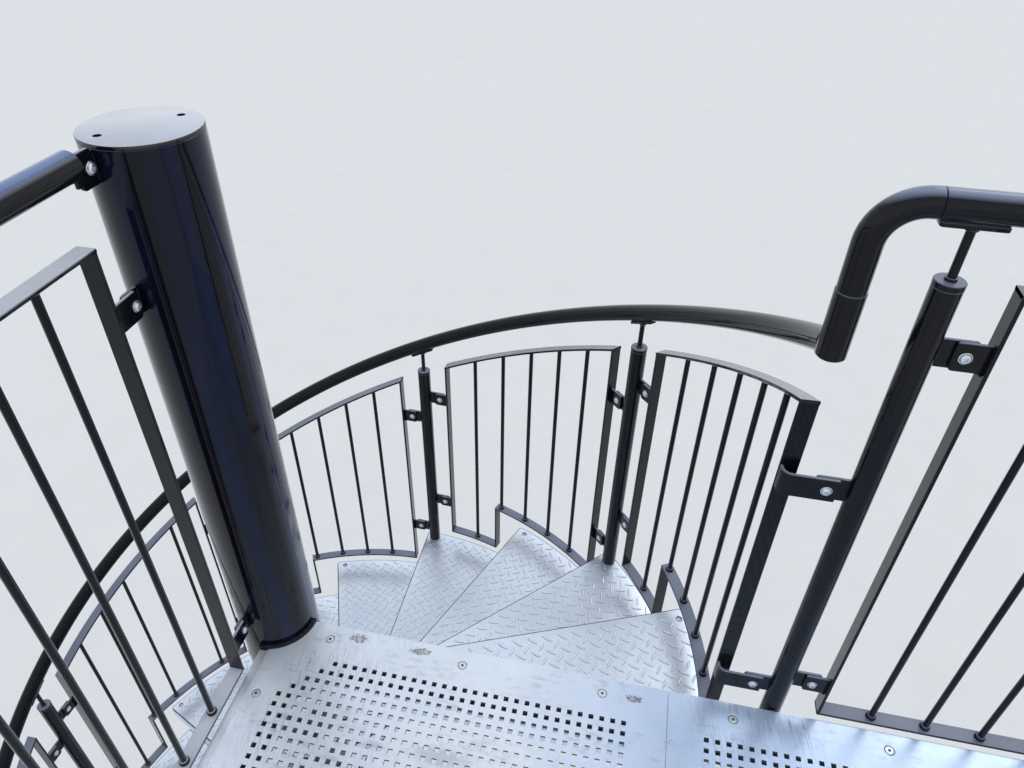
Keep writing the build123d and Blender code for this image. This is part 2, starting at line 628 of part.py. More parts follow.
def landing_balustrade():
    near = (-LUG_THICKNESS, 0)
    far = (0, LUG_THICKNESS)
    flat_face = LANDING_FLAT_FROM_POST - FLAT_THICKNESS / 2
    to_post = flat_face - LANDING_LUG_REACH + LUG_END
    to_newel = NEWEL_FLAT_OUT - FLAT_THICKNESS / 2 - NEWEL_LUG_OUT + NEWEL_LUG_END
    inner_lugs = (to_post, LANDING_LUGS, near)
    front = straight_panel(RIGHT_LINE - STAIR_POST_X - 2 * flat_face, inner_lugs, inner_lugs)
    parts["landing_panel_front"] = Pos(STAIR_POST_X + flat_face, RAIL_OUTSIDE, 0) * front
    right = straight_panel(RAIL_OUTSIDE - WALL_POST_Y - 2 * flat_face, inner_lugs, inner_lugs)
    parts["landing_panel_right"] = Pos(RIGHT_LINE, RAIL_OUTSIDE - flat_face, 0) * Rot(0, 0, -90) * right
    left_start = -NEWEL_FLAT_OUT + FLAT_THICKNESS / 2
    newel_lugs = (to_newel, NEWEL_LUGS, far)
    left = straight_panel(left_start - WALL_POST_Y - flat_face, newel_lugs, (to_post, LANDING_LUGS, far))
    parts["landing_panel_left"] = Pos(-RAIL_OUTSIDE, left_start, 0) * Rot(0, 0, -90) * left

    # The posts' own lugs lie outside the rail line and the panels' inside it.
    both_ways = (-CLEAT_HALF_WIDTH, CLEAT_HALF_WIDTH)
    stair_lugs = ((0, LANDING_LUGS, True), (180, UPPER_END_LUGS, False))
    stair = landing_post(stair_lugs, ((0, both_ways),), 0)
    parts["post_landing_stair"] = Pos(STAIR_POST_X, RAIL_OUTSIDE, 0) * stair
    corner_lugs = ((180, LANDING_LUGS, False), (-90, LANDING_LUGS, True))
    corner_cleats = ((0, (-2 * CLEAT_HALF_WIDTH, 0)), (-90, (0, 2 * CLEAT_HALF_WIDTH)))
    corner = landing_post(corner_lugs, corner_cleats, CORNER_SADDLE_TURN)
    parts["post_landing_corner"] = Pos(RIGHT_LINE, RAIL_OUTSIDE, 0) * corner
    right_post = landing_post(((90, LANDING_LUGS, False),), ((-90, both_ways),), 90)
    parts["post_wall_right"] = Pos(RIGHT_LINE, WALL_POST_Y, 0) * right_post
    left_post = landing_post(((90, LANDING_LUGS, True),), ((90, both_ways),), 90)
    parts["post_wall_left"] = Pos(-RAIL_OUTSIDE, WALL_POST_Y, 0) * left_post


newel()
stair_treads()
stair_posts()
stair_panels()
handrail()
landing_handrail()
landing()
landing_balustrade()

os.makedirs("parts", exist_ok=True)
for name, shape in parts.items():
    export_step(shape, f"parts/{name}.step")
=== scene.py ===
from math import asin, atan2, ceil, cos, degrees, pi, radians, sin, sqrt

import bmesh
import bpy
from mathutils import Matrix, Vector


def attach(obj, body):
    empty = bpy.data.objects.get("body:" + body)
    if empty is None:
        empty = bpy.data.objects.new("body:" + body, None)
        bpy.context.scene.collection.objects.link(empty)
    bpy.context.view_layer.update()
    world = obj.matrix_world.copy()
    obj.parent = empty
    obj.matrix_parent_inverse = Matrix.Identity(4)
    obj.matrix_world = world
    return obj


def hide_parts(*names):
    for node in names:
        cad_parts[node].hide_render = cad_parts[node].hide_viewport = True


# A galvanised and gloss black spiral stair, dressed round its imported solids.
# Lengths are metres in the stair's own frame: the newel's axis is Z, X runs along the
# landing's front edge, Y points away from the wall. Angles are degrees about the newel.
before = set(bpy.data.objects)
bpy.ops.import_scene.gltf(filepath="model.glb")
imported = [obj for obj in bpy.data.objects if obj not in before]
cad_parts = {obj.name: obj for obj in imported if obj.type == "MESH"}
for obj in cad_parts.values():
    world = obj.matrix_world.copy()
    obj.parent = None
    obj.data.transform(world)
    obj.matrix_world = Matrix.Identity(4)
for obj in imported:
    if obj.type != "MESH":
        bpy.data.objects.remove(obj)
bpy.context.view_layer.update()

# Storey and turn
FLOOR_LEVEL = 2.870
RISERS = 14
RISE = FLOOR_LEVEL / RISERS
TURN = 22.5
FIRST_NOSING_ANGLE = 22.9

# Newel
NEWEL_RADIUS = 0.08415
SLIP = 0.0003
COLLAR_BORE = NEWEL_RADIUS + SLIP
FLANGE_TOP = 0.012
ANCHORS = 6
ANCHOR_CIRCLE = 0.130
NEWEL_TOP = 3.970
CAP_THICKNESS = 0.006
CAP_HOLES = 0.060
CAP_HOLE_RADIUS = 0.006
CAP_HOLE_TURNS = (60, 240)
COLLAR_RADIUS = 0.09045
COLLAR_HEIGHT = 0.070
CUFF_RADIUS = 0.09245
CUFF_DROP = 0.165
CUFF_RISE = 0.008

# Treads
TREAD_RADIUS = 0.995
TREAD_PLATE = 0.004
TREAD_FLANGE = 0.050
NOSING_OFFSET = 0.018
TREAD_BACK = 0.048
NOSE_CORNER = 0.012
POST_HOLE_RADIUS = 0.007

# Rails, posts and lugs
RAIL_CIRCLE = 0.974
RAIL_RADIUS = 0.020
POST_RADIUS = 0.020
ROD_RADIUS = 0.006
ROD_SIDES = 14
FLAT_WIDTH = 0.030
FLAT_THICKNESS = 0.006
LUG_THICKNESS = 0.006
LUG_HEIGHT = 0.045
LUG_END = 0.016
LUG_GUSSET = 0.012
WELD_HALF = 0.021
STAIR_BOLT = 0.052
FLAT_FROM_POST = 0.082
POST_LAG = degrees(asin(0.0495 / RAIL_CIRCLE))
FLAT_LAG = degrees(FLAT_FROM_POST / RAIL_CIRCLE)
STEP_ANGLE = 29.4
RAIL_OVER_NOSING = 0.883
RAIL_OVER_POST = 0.099
PANEL_TOP = 0.777
FOOT_OVER_TREAD = 0.075
STAIR_RODS = 5
UPPER_END_LUGS = (0.055, 0.606)
LOWER_END_LUGS = (0.216, 0.700)
SADDLE_THICKNESS = 0.006
SADDLE_HALF_WIDTH = 0.010
SADDLE_HALF_LENGTH = 0.040
FOOT_PLATE = 0.008
FOOT_RADIUS = 0.050
CAP_SEAM = 0.0085

# Handrail: the angles at which its lengths begin and end, and its bends
RAIL_HEAD_ANGLE = 1.9
RAIL_JOINT_ANGLE = 151.3
RAIL_FOOT_ANGLE = 316
RAIL_BEND = 0.060
ELBOW_REACH = 0.066
CORNER_STUB = 0.020
LEG_SHARE = 0.6
LEG_SLEEVE = 0.0012

# Landing
RAIL_OUTSIDE = 0.020
LANDING_WIDTH = 1.748
LANDING_DEPTH = 1.075
DECK_THICKNESS = 0.005
DECK_FRONT = -0.004
DECK_SIDE = 0.020
DECK_GAP = 0.001
DECK_JOINT = 0.873
RIGHT_LINE = LANDING_WIDTH + RAIL_OUTSIDE
STAIR_POST_X = 1.085
WALL_POST_Y = -1.045
RAIL_OVER_FLOOR = 1.088
LANDING_RAIL = FLOOR_LEVEL + RAIL_OVER_FLOOR
POST_DROP = 0.150
POST_OVER_FLOOR = 0.989
CLEAT_TOP = 0.040
CLEAT_BOLTS = (-0.132, -0.058)
PANEL_FOOT = 0.005
PANEL_HEAD = 0.985
LANDING_LUGS = (0.090, 0.880)
NEWEL_LUGS = (0.075, 0.867)
LANDING_BOLT = 0.055
LANDING_FLAT = 0.083
ROD_SPACING = 0.101
NEWEL_BOLT = 0.100
NEWEL_LUG_END = 0.009
NEWEL_RAIL_LUG = 1.070
LEFT_PANEL_START = 0.147
LEFT_RAIL_START = 0.125


def level(tread):
    return FLOOR_LEVEL - tread * RISE


def nosing_angle(tread):
    return FIRST_NOSING_ANGLE + (tread - 1) * TURN


def post_angle(tread):
    return nosing_angle(tread) - POST_LAG


def nosing_line(past_post):
    return -RISE * (past_post - POST_LAG) / TURN


def rail_height(angle):
    return FLOOR_LEVEL + nosing_line(angle - post_angle(0)) + RAIL_OVER_NOSING


def around(angle, lift=0.0):
    """Turns about the newel and lifts."""
    return Matrix.Translation((0, 0, lift)) @ Matrix.Rotation(radians(angle), 4, "Z")


def at(x, y, z=0.0):
    return Matrix.Translation((x, y, z))


def turned(angle, axis):
    return Matrix.Rotation(radians(angle), 4, axis)


def stand_across():
    """Stands a plate drawn in Y and Z across the X axis, with its thickness towards -X."""
    return Matrix(((0, 0, -1, 0), (1, 0, 0, 0), (0, 1, 0, 0), (0, 0, 0, 1)))


def stand_along():
    """Stands a plate drawn in X and Z along the X axis, with its thickness towards +Y."""
    return Matrix(((1, 0, 0, 0), (0, 0, 1, 0), (0, 1, 0, 0), (0, 0, 0, 1)))


def facing(origin, across, along):
    """A section's place: its first axis points across the run and its third along it."""
    along = Vector(along).normalized()
    across = Vector(across)
    across = (across - along * across.dot(along)).normalized()
    side = along.cross(across)
    rows = Matrix((across, side, along)).transposed().to_4x4()
    return Matrix.Translation(origin) @ rows


# A ring on an axis keeps this radius, so that its corners stay apart.
FINEST = 0.00005


class Steelwork:
    """The skins of a piece, gathered before they become one mesh."""

    def __init__(self):
        self.points = []
        self.skins = []
        self.finishes = []
        self.finish = 0
        self.place = Matrix()

    def ring(self, points):
        first = len(self.points)
        self.points += [self.place @ Vector(point) for point in points]
        return list(range(first, len(self.points)))

    def face(self, corners):
        self.skins.append(tuple(corners))
        self.finishes.append(self.finish)

    def skin(self, rings):
        """Joins rings of points in turn and closes both ends."""
        loops = [self.ring(points) for points in rings]
        count = len(loops[0])
        for low, high in zip(loops, loops[1:]):
            for i in range(count):
                j = (i + 1) % count
                self.face((low[i], low[j], high[j], high[i]))
        self.face(reversed(loops[0]))
        self.face(loops[-1])

    def run(self, section, places):
        """A section carried along a line of places."""
        self.skin([[place @ Vector((u, v, 0)) for u, v in section] for place in places])

    def spun(self, profile, place, sides):
        """A profile of radius and height turned about the third axis of its place."""
        place = place or Matrix()
        rings = []
        for radius, height in profile:
            circle = round_section(max(radius, FINEST), sides)
            rings.append([place @ Vector((x, y, height)) for x, y in circle])
        self.skin(rings)

    def plate(self, outline, place, thickness):
        """A flat plate with eased edges, whose outline lies in its place's first two axes."""
        edge = 0.0008
        tight = drawn_in(outline, edge)
        layers = ((tight, 0), (outline, edge), (outline, thickness - edge), (tight, thickness))
        self.skin([[place @ Vector((u, v, w)) for u, v in line] for line, w in layers])


def drawn_in(outline, by):
    """An outline moved in by the same distance along every side."""
    area = sum(a[0] * b[1] - b[0] * a[1] for a, b in zip(outline, outline[1:] + outline[:1]))
    turn = 1 if area > 0 else -1
    moved = []
    for i, point in enumerate(outline):
        before = Vector(point) - Vector(outline[i - 1])
        after = Vector(outline[(i + 1) % len(outline)]) - Vector(point)
        first = Vector((-before.y, before.x)).normalized() * turn
        second = Vector((-after.y, after.x)).normalized() * turn
        both = first + second
        moved.append(tuple(Vector(point) + both * by / (1 + first.dot(second))))
    return moved


def arc(x, y, radius, angles):
    """Points on a circle about a centre, at angles in degrees."""
    return [(x + radius * cos(radians(angle)), y + radius * sin(radians(angle))) for angle in angles]


def round_section(radius, sides):
    return arc(0, 0, radius, [360 * i / sides for i in range(sides)])


def flat_section(width=FLAT_WIDTH, thickness=FLAT_THICKNESS, edge=0.001):
    """A rolled flat bar's section with its arrises eased."""
    u, v = width / 2, thickness / 2
    return [
        (u - edge, -v), (u, -v + edge), (u, v - edge), (u - edge, v),
        (-u + edge, v), (-u, v - edge), (-u, -v + edge), (-u + edge, -v),
    ]


def rounded_plate(left, right, low, high, radii):
    """A rectangle with its own radius at each corner: low left, low right, high right, high left."""
    centres = ((left, low), (right, low), (right, high), (left, high))
    inward = ((1, 1), (-1, 1), (-1, -1), (1, -1))
    outline = []
    for corner, (x, y) in enumerate(centres):
        radius = radii[corner]
        if radius == 0:
            outline.append((x, y))
            continue
        cx, cy = x + inward[corner][0] * radius, y + inward[corner][1] * radius
        outline += arc(cx, cy, radius, [180 + 90 * corner + 22.5 * step for step in range(5)])
    return outline


# Edges that bend by more than this stay crisp.
SMOOTH_TO = 34


def mesh_of(name, steel, outward=True):
    """The mesh of gathered steelwork, with its skins turned outward where it is closed."""
    mesh = bpy.data.meshes.new(name)
    mesh.from_pydata([tuple(point) for point in steel.points], [], steel.skins)
    mesh.polygons.foreach_set("material_index", steel.finishes)
    if outward:
        work = bmesh.new()
        work.from_mesh(mesh)
        bmesh.ops.recalc_face_normals(work, faces=work.faces)
        work.to_mesh(mesh)
        work.free()
    return mesh


def made(name, steel, finishes, nodes=(), cutters=()):
    """Turns steelwork into a piece that rides on the stair and stands for its nodes."""
    mesh = mesh_of(name, steel)
    for cutter in cutters:
        mesh = cut(mesh, cutter)
    return piece(name, mesh, finishes, nodes)


def piece(name, mesh, finishes, nodes):
    mesh.name = name
    which = [0] * len(mesh.polygons)
    mesh.polygons.foreach_get("material_index", which)
    mesh.materials.clear()
    for finish in finishes:
        mesh.materials.append(finish)
    mesh.polygons.foreach_set("material_index", which)
    mesh.polygons.foreach_set("use_smooth", [True] * len(mesh.polygons))
    mesh.set_sharp_from_angle(angle=radians(SMOOTH_TO))
    body = bpy.data.objects.new(name, mesh)
    bpy.context.scene.collection.objects.link(body)
    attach(body, "root")
    if nodes:
        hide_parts(*nodes)
    return body


def cut(mesh, cutter):
    """The mesh with a cutter's steelwork taken out of it."""
    tool_mesh = mesh_of("cutter", cutter)
    stock = bpy.data.objects.new("stock", mesh)
    tool = bpy.data.objects.new("tool", tool_mesh)
    for thing in (stock, tool):
        bpy.context.scene.collection.objects.link(thing)
    bore = stock.modifiers.new("bore", "BOOLEAN")
    bore.operation = "DIFFERENCE"
    bore.solver = "EXACT"
    bore.object = tool
    shape = bpy.data.meshes.new_from_object(stock.evaluated_get(bpy.context.evaluated_depsgraph_get()))
    for thing in (stock, tool):
        bpy.data.objects.remove(thing)
    bpy.data.meshes.remove(tool_mesh)
    return shape


# Finishes: small helpers that place nodes and wire them.
def put(tree, kind, wires=None, **settings):
    new = tree.nodes.new(kind)
    for key, value in settings.items():
        setattr(new, key, value)
    for key, value in (wires or {}).items():
        if isinstance(value, bpy.types.NodeSocket):
            tree.links.new(value, new.inputs[key])
        else:
            new.inputs[key].default_value = value
    return new


def noise(tree, vector, scale, detail, roughness=0.5):
    wires = {"Vector": vector, "Scale": scale, "Detail": detail, "Roughness": roughness}
    return put(tree, "ShaderNodeTexNoise", wires).outputs[0]


def span(tree, value, low, high, to_low=0.0, to_high=1.0):
    """A value's range stretched to another and held inside it."""
    wires = {"Value": value, "From Min": low, "From Max": high, "To Min": to_low, "To Max": to_high}
    return put(tree, "ShaderNodeMapRange", wires).outputs["Result"]


def sums(tree, operation, first, second=0.0):
    return put(tree, "ShaderNodeMath", {0: first, 1: second}, operation=operation).outputs[0]


def times(tree, first, second):
    return sums(tree, "MULTIPLY", first, second)


def plus(tree, first, second):
    return sums(tree, "ADD", first, second)


def vectors(tree, operation, first, second=(0, 0, 0), result="Vector"):
    return put(tree, "ShaderNodeVectorMath", {0: first, 1: second}, operation=operation).outputs[result]


def tint(tree, share, first, second):
    """The first colour, turned to the second by a share."""
    wires = {0: share, 6: first, 7: second}
    return put(tree, "ShaderNodeMix", wires, data_type="RGBA").outputs[2]


def stretch(tree, vector, scale, turn=(0, 0, 0)):
    wires = {"Vector": vector, "Scale": scale, "Rotation": turn}
    return put(tree, "ShaderNodeMapping", wires).outputs["Vector"]


def normal_of(tree):
    return put(tree, "ShaderNodeNewGeometry").outputs["Normal"]


def looks_up(tree):
    """How far a surface's normal points up."""
    return put(tree, "ShaderNodeSeparateXYZ", {0: normal_of(tree)}).outputs["Z"]


def new_effect(name, inputs, *outputs):
    """A shared effect: a place and named inputs with their usual values, and the masks that it gives."""
    tree = bpy.data.node_groups.new(name, "ShaderNodeTree")
    tree.interface.new_socket("Place", in_out="INPUT", socket_type="NodeSocketVector")
    for label, value in inputs.items():
        kind = "NodeSocketVector" if isinstance(value, tuple) else "NodeSocketFloat"
        tree.interface.new_socket(label, in_out="INPUT", socket_type=kind).default_value = value
    for label in outputs:
        tree.interface.new_socket(label, in_out="OUTPUT", socket_type="NodeSocketFloat")
    return tree, tree.nodes.new("NodeGroupInput").outputs, tree.nodes.new("NodeGroupOutput").inputs


def orange_peel_effect():
    """The fine swell of sprayed powder paint, with a finer grit on it."""
    tree, given, result = new_effect("orange peel", {"Swell Size": 0.004, "Grit": 0.2}, "Height")
    swell = noise(tree, given["Place"], sums(tree, "DIVIDE", 1.0, given["Swell Size"]), 2.0)
    grit = noise(tree, given["Place"], sums(tree, "DIVIDE", 4.0, given["Swell Size"]), 2.0)
    height = plus(tree, swell, times(tree, grit, given["Grit"]))
    tree.links.new(height, result["Height"])
    return tree


def dust_effect():
    """Dust and dried rain that lies on what looks up."""
    tree, given, result = new_effect("settled dust", {"Patch Size": 0.1, "Amount": 0.5}, "Dust")
    lying = span(tree, looks_up(tree), -0.1, 0.8, 0.15, 1.0)
    scale = sums(tree, "DIVIDE", 1.0, given["Patch Size"])
    patches = span(tree, noise(tree, given["Place"], scale, 5.0, 0.6), 0.35, 0.7)
    specks = span(tree, noise(tree, given["Place"], times(tree, scale, 14.0), 2.0), 0.52, 0.72)
    overlay = plus(tree, times(tree, patches, 0.6), times(tree, specks, 0.5))
    dust = times(tree, times(tree, overlay, lying), given["Amount"])
    tree.links.new(dust, result["Dust"])
    return tree


def scuff_effect():
    """Thin rubs and scratches in one direction, broken into patches."""
    usual = {"Direction": (0, 0, 0), "Width": 0.002, "Patch Size": 0.2, "Amount": 0.5}
    tree, given, result = new_effect("scuffs", usual, "Scuff")
    along = put(tree, "ShaderNodeMapping", {"Vector": given["Place"], "Rotation": given["Direction"]})
    drawn = stretch(tree, along.outputs[0], (1.0, 0.06, 0.06))
    lines = noise(tree, drawn, sums(tree, "DIVIDE", 1.0, given["Width"]), 3.0, 0.6)
    broken = noise(tree, given["Place"], sums(tree, "DIVIDE", 1.0, given["Patch Size"]), 3.0, 0.6)
    mask = times(tree, span(tree, lines, 0.52, 0.74), span(tree, broken, 0.42, 0.66))
    tree.links.new(times(tree, mask, given["Amount"]), result["Scuff"])
    return tree


def painted_sky_sheen_effect():
    """A painted sheen of pale sky reflection on gloss paint where it looks straight up."""
    tree, given, result = new_effect("painted sky sheen", {"Patch Size": 0.1, "Amount": 1.0}, "Painted Sheen")
    scale = sums(tree, "DIVIDE", 1.0, given["Patch Size"])
    patches = span(tree, noise(tree, given["Place"], scale, 2.0), 0.3, 0.7, 0.82, 1.0)
    painted_sheen = times(tree, span(tree, looks_up(tree), 0.62, 0.90), patches)
    tree.links.new(times(tree, painted_sheen, given["Amount"]), result["Painted Sheen"])
    return tree


def spangle_effect():
    """Zinc crystals of a hot-dipped coat: each has its own tone and tilt."""
    inputs = {"Crystal Size": 0.012, "Feather": 0.35}
    tree, given, result = new_effect("zinc spangle", inputs, "Tone", "Height")
    scale = sums(tree, "DIVIDE", 1.0, given["Crystal Size"])
    bend = put(tree, "ShaderNodeTexNoise", {"Vector": given["Place"], "Scale": times(tree, scale, 1.6)})
    shift = vectors(tree, "SUBTRACT", bend.outputs["Color"], (0.5, 0.5, 0.5))
    reach = times(tree, given["Crystal Size"], 0.9)
    moved = put(tree, "ShaderNodeVectorMath", {0: shift, "Scale": reach}, operation="SCALE")
    place = vectors(tree, "ADD", given["Place"], moved.outputs["Vector"])
    crystals = put(tree, "ShaderNodeTexVoronoi", {"Vector": place, "Scale": scale})
    own = put(tree, "ShaderNodeSeparateColor", {0: crystals.outputs["Color"]})
    frost = noise(tree, place, times(tree, scale, 7.0), 3.0, 0.7)
    fine = times(tree, sums(tree, "SUBTRACT", frost, 0.5), given["Feather"])
    tone = plus(tree, own.outputs[0], fine)
    tree.links.new(span(tree, tone, 0.0, 1.0), result["Tone"])
    height = plus(tree, times(tree, crystals.outputs["Distance"], 0.6), fine)
    tree.links.new(height, result["Height"])
    return tree


def stain_effect():
    """Soft dull clouds where the zinc has weathered."""
    tree, given, result = new_effect("weathered clouds", {"Cloud Size": 0.3, "Edge": 0.12}, "Cloud")
    scale = sums(tree, "DIVIDE", 1.0, given["Cloud Size"])
    cloud = noise(tree, given["Place"], scale, 6.0, 0.62)
    low = sums(tree, "SUBTRACT", 0.54, given["Edge"])
    high = plus(tree, 0.54, given["Edge"])
    tree.links.new(span(tree, cloud, low, high), result["Cloud"])
    return tree


ORANGE_PEEL = orange_peel_effect()
DUST = dust_effect()
SCUFFS = scuff_effect()
PAINTED_SKY_SHEEN = painted_sky_sheen_effect()
SPANGLE = spangle_effect()
CLOUDS = stain_effect()


def with_effect(tree, effect, **given):
    """Places a shared effect, with its inputs named with underscores for spaces."""
    group = tree.nodes.new("ShaderNodeGroup")
    group.node_tree = effect
    for key, value in given.items():
        label = key.replace("_", " ").title()
        if isinstance(value, bpy.types.NodeSocket):
            tree.links.new(value, group.inputs[label])
        else:
            group.inputs[label].default_value = value
    return group.outputs


def blank_finish(name):
    finish = bpy.data.materials.new(name)
    finish.use_nodes = True
    tree = finish.node_tree
    shader = tree.nodes["Principled BSDF"]
    place = tree.nodes.new("ShaderNodeTexCoord").outputs["Object"]
    return finish, tree, shader, place


def scuffed(tree, place, direction, width, patch_size, amount):
    given = {"direction": direction, "width": width, "patch_size": patch_size, "amount": amount}
    return with_effect(tree, SCUFFS, place=place, **given)["Scuff"]


def raised(tree, height, distance):
    wires = {"Height": height, "Distance": distance, "Strength": 1.0}
    return put(tree, "ShaderNodeBump", wires).outputs["Normal"]


# The usual colour of the painted sky sheen on the black paint's up-facing faces.
PAINTED_SHEEN_COLOUR = (0.225, 0.245, 0.325, 1)
SIDEWAYS = (0, radians(90), 0)


def black_paint(
    name, swell, roughness, dust_amount, scuffs_run=(0, 0, 0), gloss=1.28, painted_sheen=PAINTED_SHEEN_COLOUR, coat=0.78,
    painted_reflection_bands=0.0,
):
    """Gloss black powder paint over steel, with a faint painted navy reflection in its black, a painted pale
    sky sheen on what looks up, and painted navy reflection bands where they are asked for.
    """
    finish, tree, shader, place = blank_finish(name)
    dust = with_effect(tree, DUST, place=place, patch_size=0.16, amount=dust_amount)["Dust"]
    scuff = scuffed(tree, place, scuffs_run, 0.0016, 0.22, 0.6)
    peel = with_effect(tree, ORANGE_PEEL, place=place, swell_size=swell, grit=0.25)["Height"]
    # The black carries a faint navy: a painted sky reflection.
    colour = tint(tree, dust, (0.0028, 0.0032, 0.0060, 1), (0.050, 0.057, 0.080, 1))
    colour = tint(tree, times(tree, scuff, 0.16), colour, (0.07, 0.075, 0.09, 1))
    # Painted reflection: soft vertical navy bands along the tube.
    if painted_reflection_bands:
        drawn = noise(tree, stretch(tree, place, (1.0, 1.0, 0.03)), 26.0, 2.0)
        colour = tint(tree, span(tree, drawn, 0.44, 0.62, 0.0, painted_reflection_bands), colour, (0.006, 0.012, 0.045, 1))
    # Painted sky sheen: a pale colour laid on the faces that look up, in place of the sky's reflection.
    overlay = with_effect(tree, PAINTED_SKY_SHEEN, place=place, patch_size=0.12, amount=1.0)["Painted Sheen"]
    tree.links.new(tint(tree, overlay, colour, painted_sheen), shader.inputs["Base Color"])
    dull = plus(tree, times(tree, dust, 0.5), times(tree, scuff, 0.22))
    tree.links.new(plus(tree, dull, roughness), shader.inputs["Roughness"])
    shader.inputs["IOR"].default_value = 1.45
    shader.inputs["Specular IOR Level"].default_value = 0.08
    shader.inputs["Coat Roughness"].default_value = 0.05
    shader.inputs["Coat IOR"].default_value = gloss
    tree.links.new(span(tree, dust, 0.0, 0.6, coat, 0.45), shader.inputs["Coat Weight"])
    tree.links.new(raised(tree, peel, 0.00006), shader.inputs["Normal"])
    return finish


def galvanised(name, crystal, pale, dull, roughness, clouds, extra=None, shine=0.74):
    """Hot-dipped zinc with spangle, clouds and fine rubs; the extra adds a piece's own marks."""
    finish, tree, shader, place = blank_finish(name)
    spangle = with_effect(tree, SPANGLE, place=place, crystal_size=crystal, feather=0.18)
    cloud = with_effect(tree, CLOUDS, place=place, cloud_size=clouds, edge=0.14)["Cloud"]
    rub = scuffed(tree, place, (0, 0, radians(-35)), 0.0022, 0.12, 1.0)
    dust = with_effect(tree, DUST, place=place, patch_size=0.07, amount=0.5)["Dust"]
    colour = tint(tree, span(tree, spangle["Tone"], 0.0, 1.0, 0.0, 0.3), pale, dull)
    colour = tint(tree, times(tree, cloud, 0.35), colour, tuple(c * 0.86 for c in dull[:3]) + (1,))
    colour = tint(tree, times(tree, rub, 0.3), colour, (0.93, 0.95, 0.97, 1))
    colour = tint(tree, times(tree, dust, 0.22), colour, (0.58, 0.57, 0.54, 1))
    height = raised(tree, spangle["Height"], 0.000015)
    rough = plus(tree, roughness, times(tree, spangle["Tone"], 0.05))
    rough = plus(tree, rough, times(tree, dust, 0.06))
    metal = span(tree, dust, 0.0, 1.0, shine, 0.95 * shine)
    if extra:
        colour, rough, metal, height = extra(tree, place, colour, rough, metal, height)
    tree.links.new(colour, shader.inputs["Base Color"])
    tree.links.new(rough, shader.inputs["Roughness"])
    tree.links.new(metal, shader.inputs["Metallic"])
    tree.links.new(height, shader.inputs["Normal"])
    return finish


RUB_SPOTS = ((0.201, -0.024, 0.023), (0.342, -0.026, 0.022), (0.803, -0.037, 0.018))
BRUSHED_SPOTS = ((0.10, -0.12, 0.34), (1.06, -0.05, 0.20))
SMEAR_SPOTS = ((0.447, -0.237, 0.075), (0.307, -0.243, 0.035))


def spot_reach(tree, place, x, y, size, narrow):
    """How far the floor is from a spot, in the spot's own size, which is narrower along Y."""
    offset = vectors(tree, "SUBTRACT", place, (x, y, FLOOR_LEVEL))
    squeezed = stretch(tree, offset, (1 / size, narrow / size, 1 / size))
    return vectors(tree, "LENGTH", squeezed, result="Value")


def rubbed_marks(tree, place, colour, rough, metal, height):
    """Painted bluish shade that grows towards the right, and the rubs, brushing and smears of use on the
    landing's plates.
    """
    # Painted bluish shade, growing towards +X with a ragged edge.
    east = put(tree, "ShaderNodeSeparateXYZ", {0: place}).outputs["X"]
    drift = plus(tree, east, times(tree, noise(tree, place, 7.0, 2.0), 0.3))
    colour = tint(tree, span(tree, drift, 0.72, 1.10, 0.0, 0.92), colour, (0.58, 0.72, 0.97, 1))
    torn = noise(tree, stretch(tree, place, (0.45, 1.0, 1.0)), 260.0, 3.0, 0.7)
    for x, y, size in RUB_SPOTS:
        ragged = plus(tree, spot_reach(tree, place, x, y, size, 2.4), times(tree, torn, 3.0))
        mark = span(tree, ragged, 1.9, 2.5, 0.6, 0.0)
        colour = tint(tree, mark, colour, (0.30, 0.28, 0.25, 1))
        brink = sums(tree, "ABSOLUTE", sums(tree, "SUBTRACT", ragged, 2.1))
        colour = tint(tree, span(tree, brink, 0.06, 0.28, 0.9, 0.0), colour, (0.07, 0.07, 0.075, 1))
        metal = times(tree, metal, span(tree, mark, 0.0, 0.6, 1.0, 0.3))
    colour, metal = brushing(tree, place, colour, metal)
    return smears(tree, place, colour), rough, metal, height


def brushing(tree, place, colour, metal):
    """Dark and pale strokes by the newel and by the stair's post."""
    run = (0, 0, radians(-10))
    near = 0.10
    for x, y, reach in BRUSHED_SPOTS:
        away = vectors(tree, "DISTANCE", place, (x, y, FLOOR_LEVEL), "Value")
        near = sums(tree, "MAXIMUM", near, span(tree, away, 0.45 * reach, reach, 1.0, 0.10))
    streak = times(tree, scuffed(tree, place, run, 0.0030, 0.07, 1.0), near)
    colour = tint(tree, times(tree, streak, 0.9), colour, (0.22, 0.29, 0.46, 1))
    moved = stretch(tree, place, (1.0, 1.0, 1.0), (0, 0, radians(3)))
    wiped = times(tree, scuffed(tree, moved, run, 0.0044, 0.10, 1.0), near)
    colour = tint(tree, wiped, colour, (0.90, 0.94, 1.0, 1))
    return colour, times(tree, metal, span(tree, wiped, 0.0, 1.0, 1.0, 0.25))


def smears(tree, place, colour):
    """Grey smudges over the plates, with two larger smears."""
    darkening = with_effect(tree, CLOUDS, place=place, cloud_size=0.075, edge=0.05)["Cloud"]
    scrub = noise(tree, stretch(tree, place, (1.0, 3.0, 1.0), (0, 0, radians(20))), 30.0, 3.0, 0.55)
    smudge = times(tree, darkening, span(tree, scrub, 0.48, 0.72))
    for x, y, size in SMEAR_SPOTS:
        patchy = plus(tree, spot_reach(tree, place, x, y, size, 3.0), times(tree, scrub, 1.4))
        smudge = sums(tree, "MAXIMUM", smudge, span(tree, patchy, 1.1, 1.7, 1.0, 0.0))
    return tint(tree, times(tree, smudge, 0.5), colour, (0.36, 0.40, 0.46, 1))


FRAME_MIDDLE = (0.87, -0.54, 2.79)


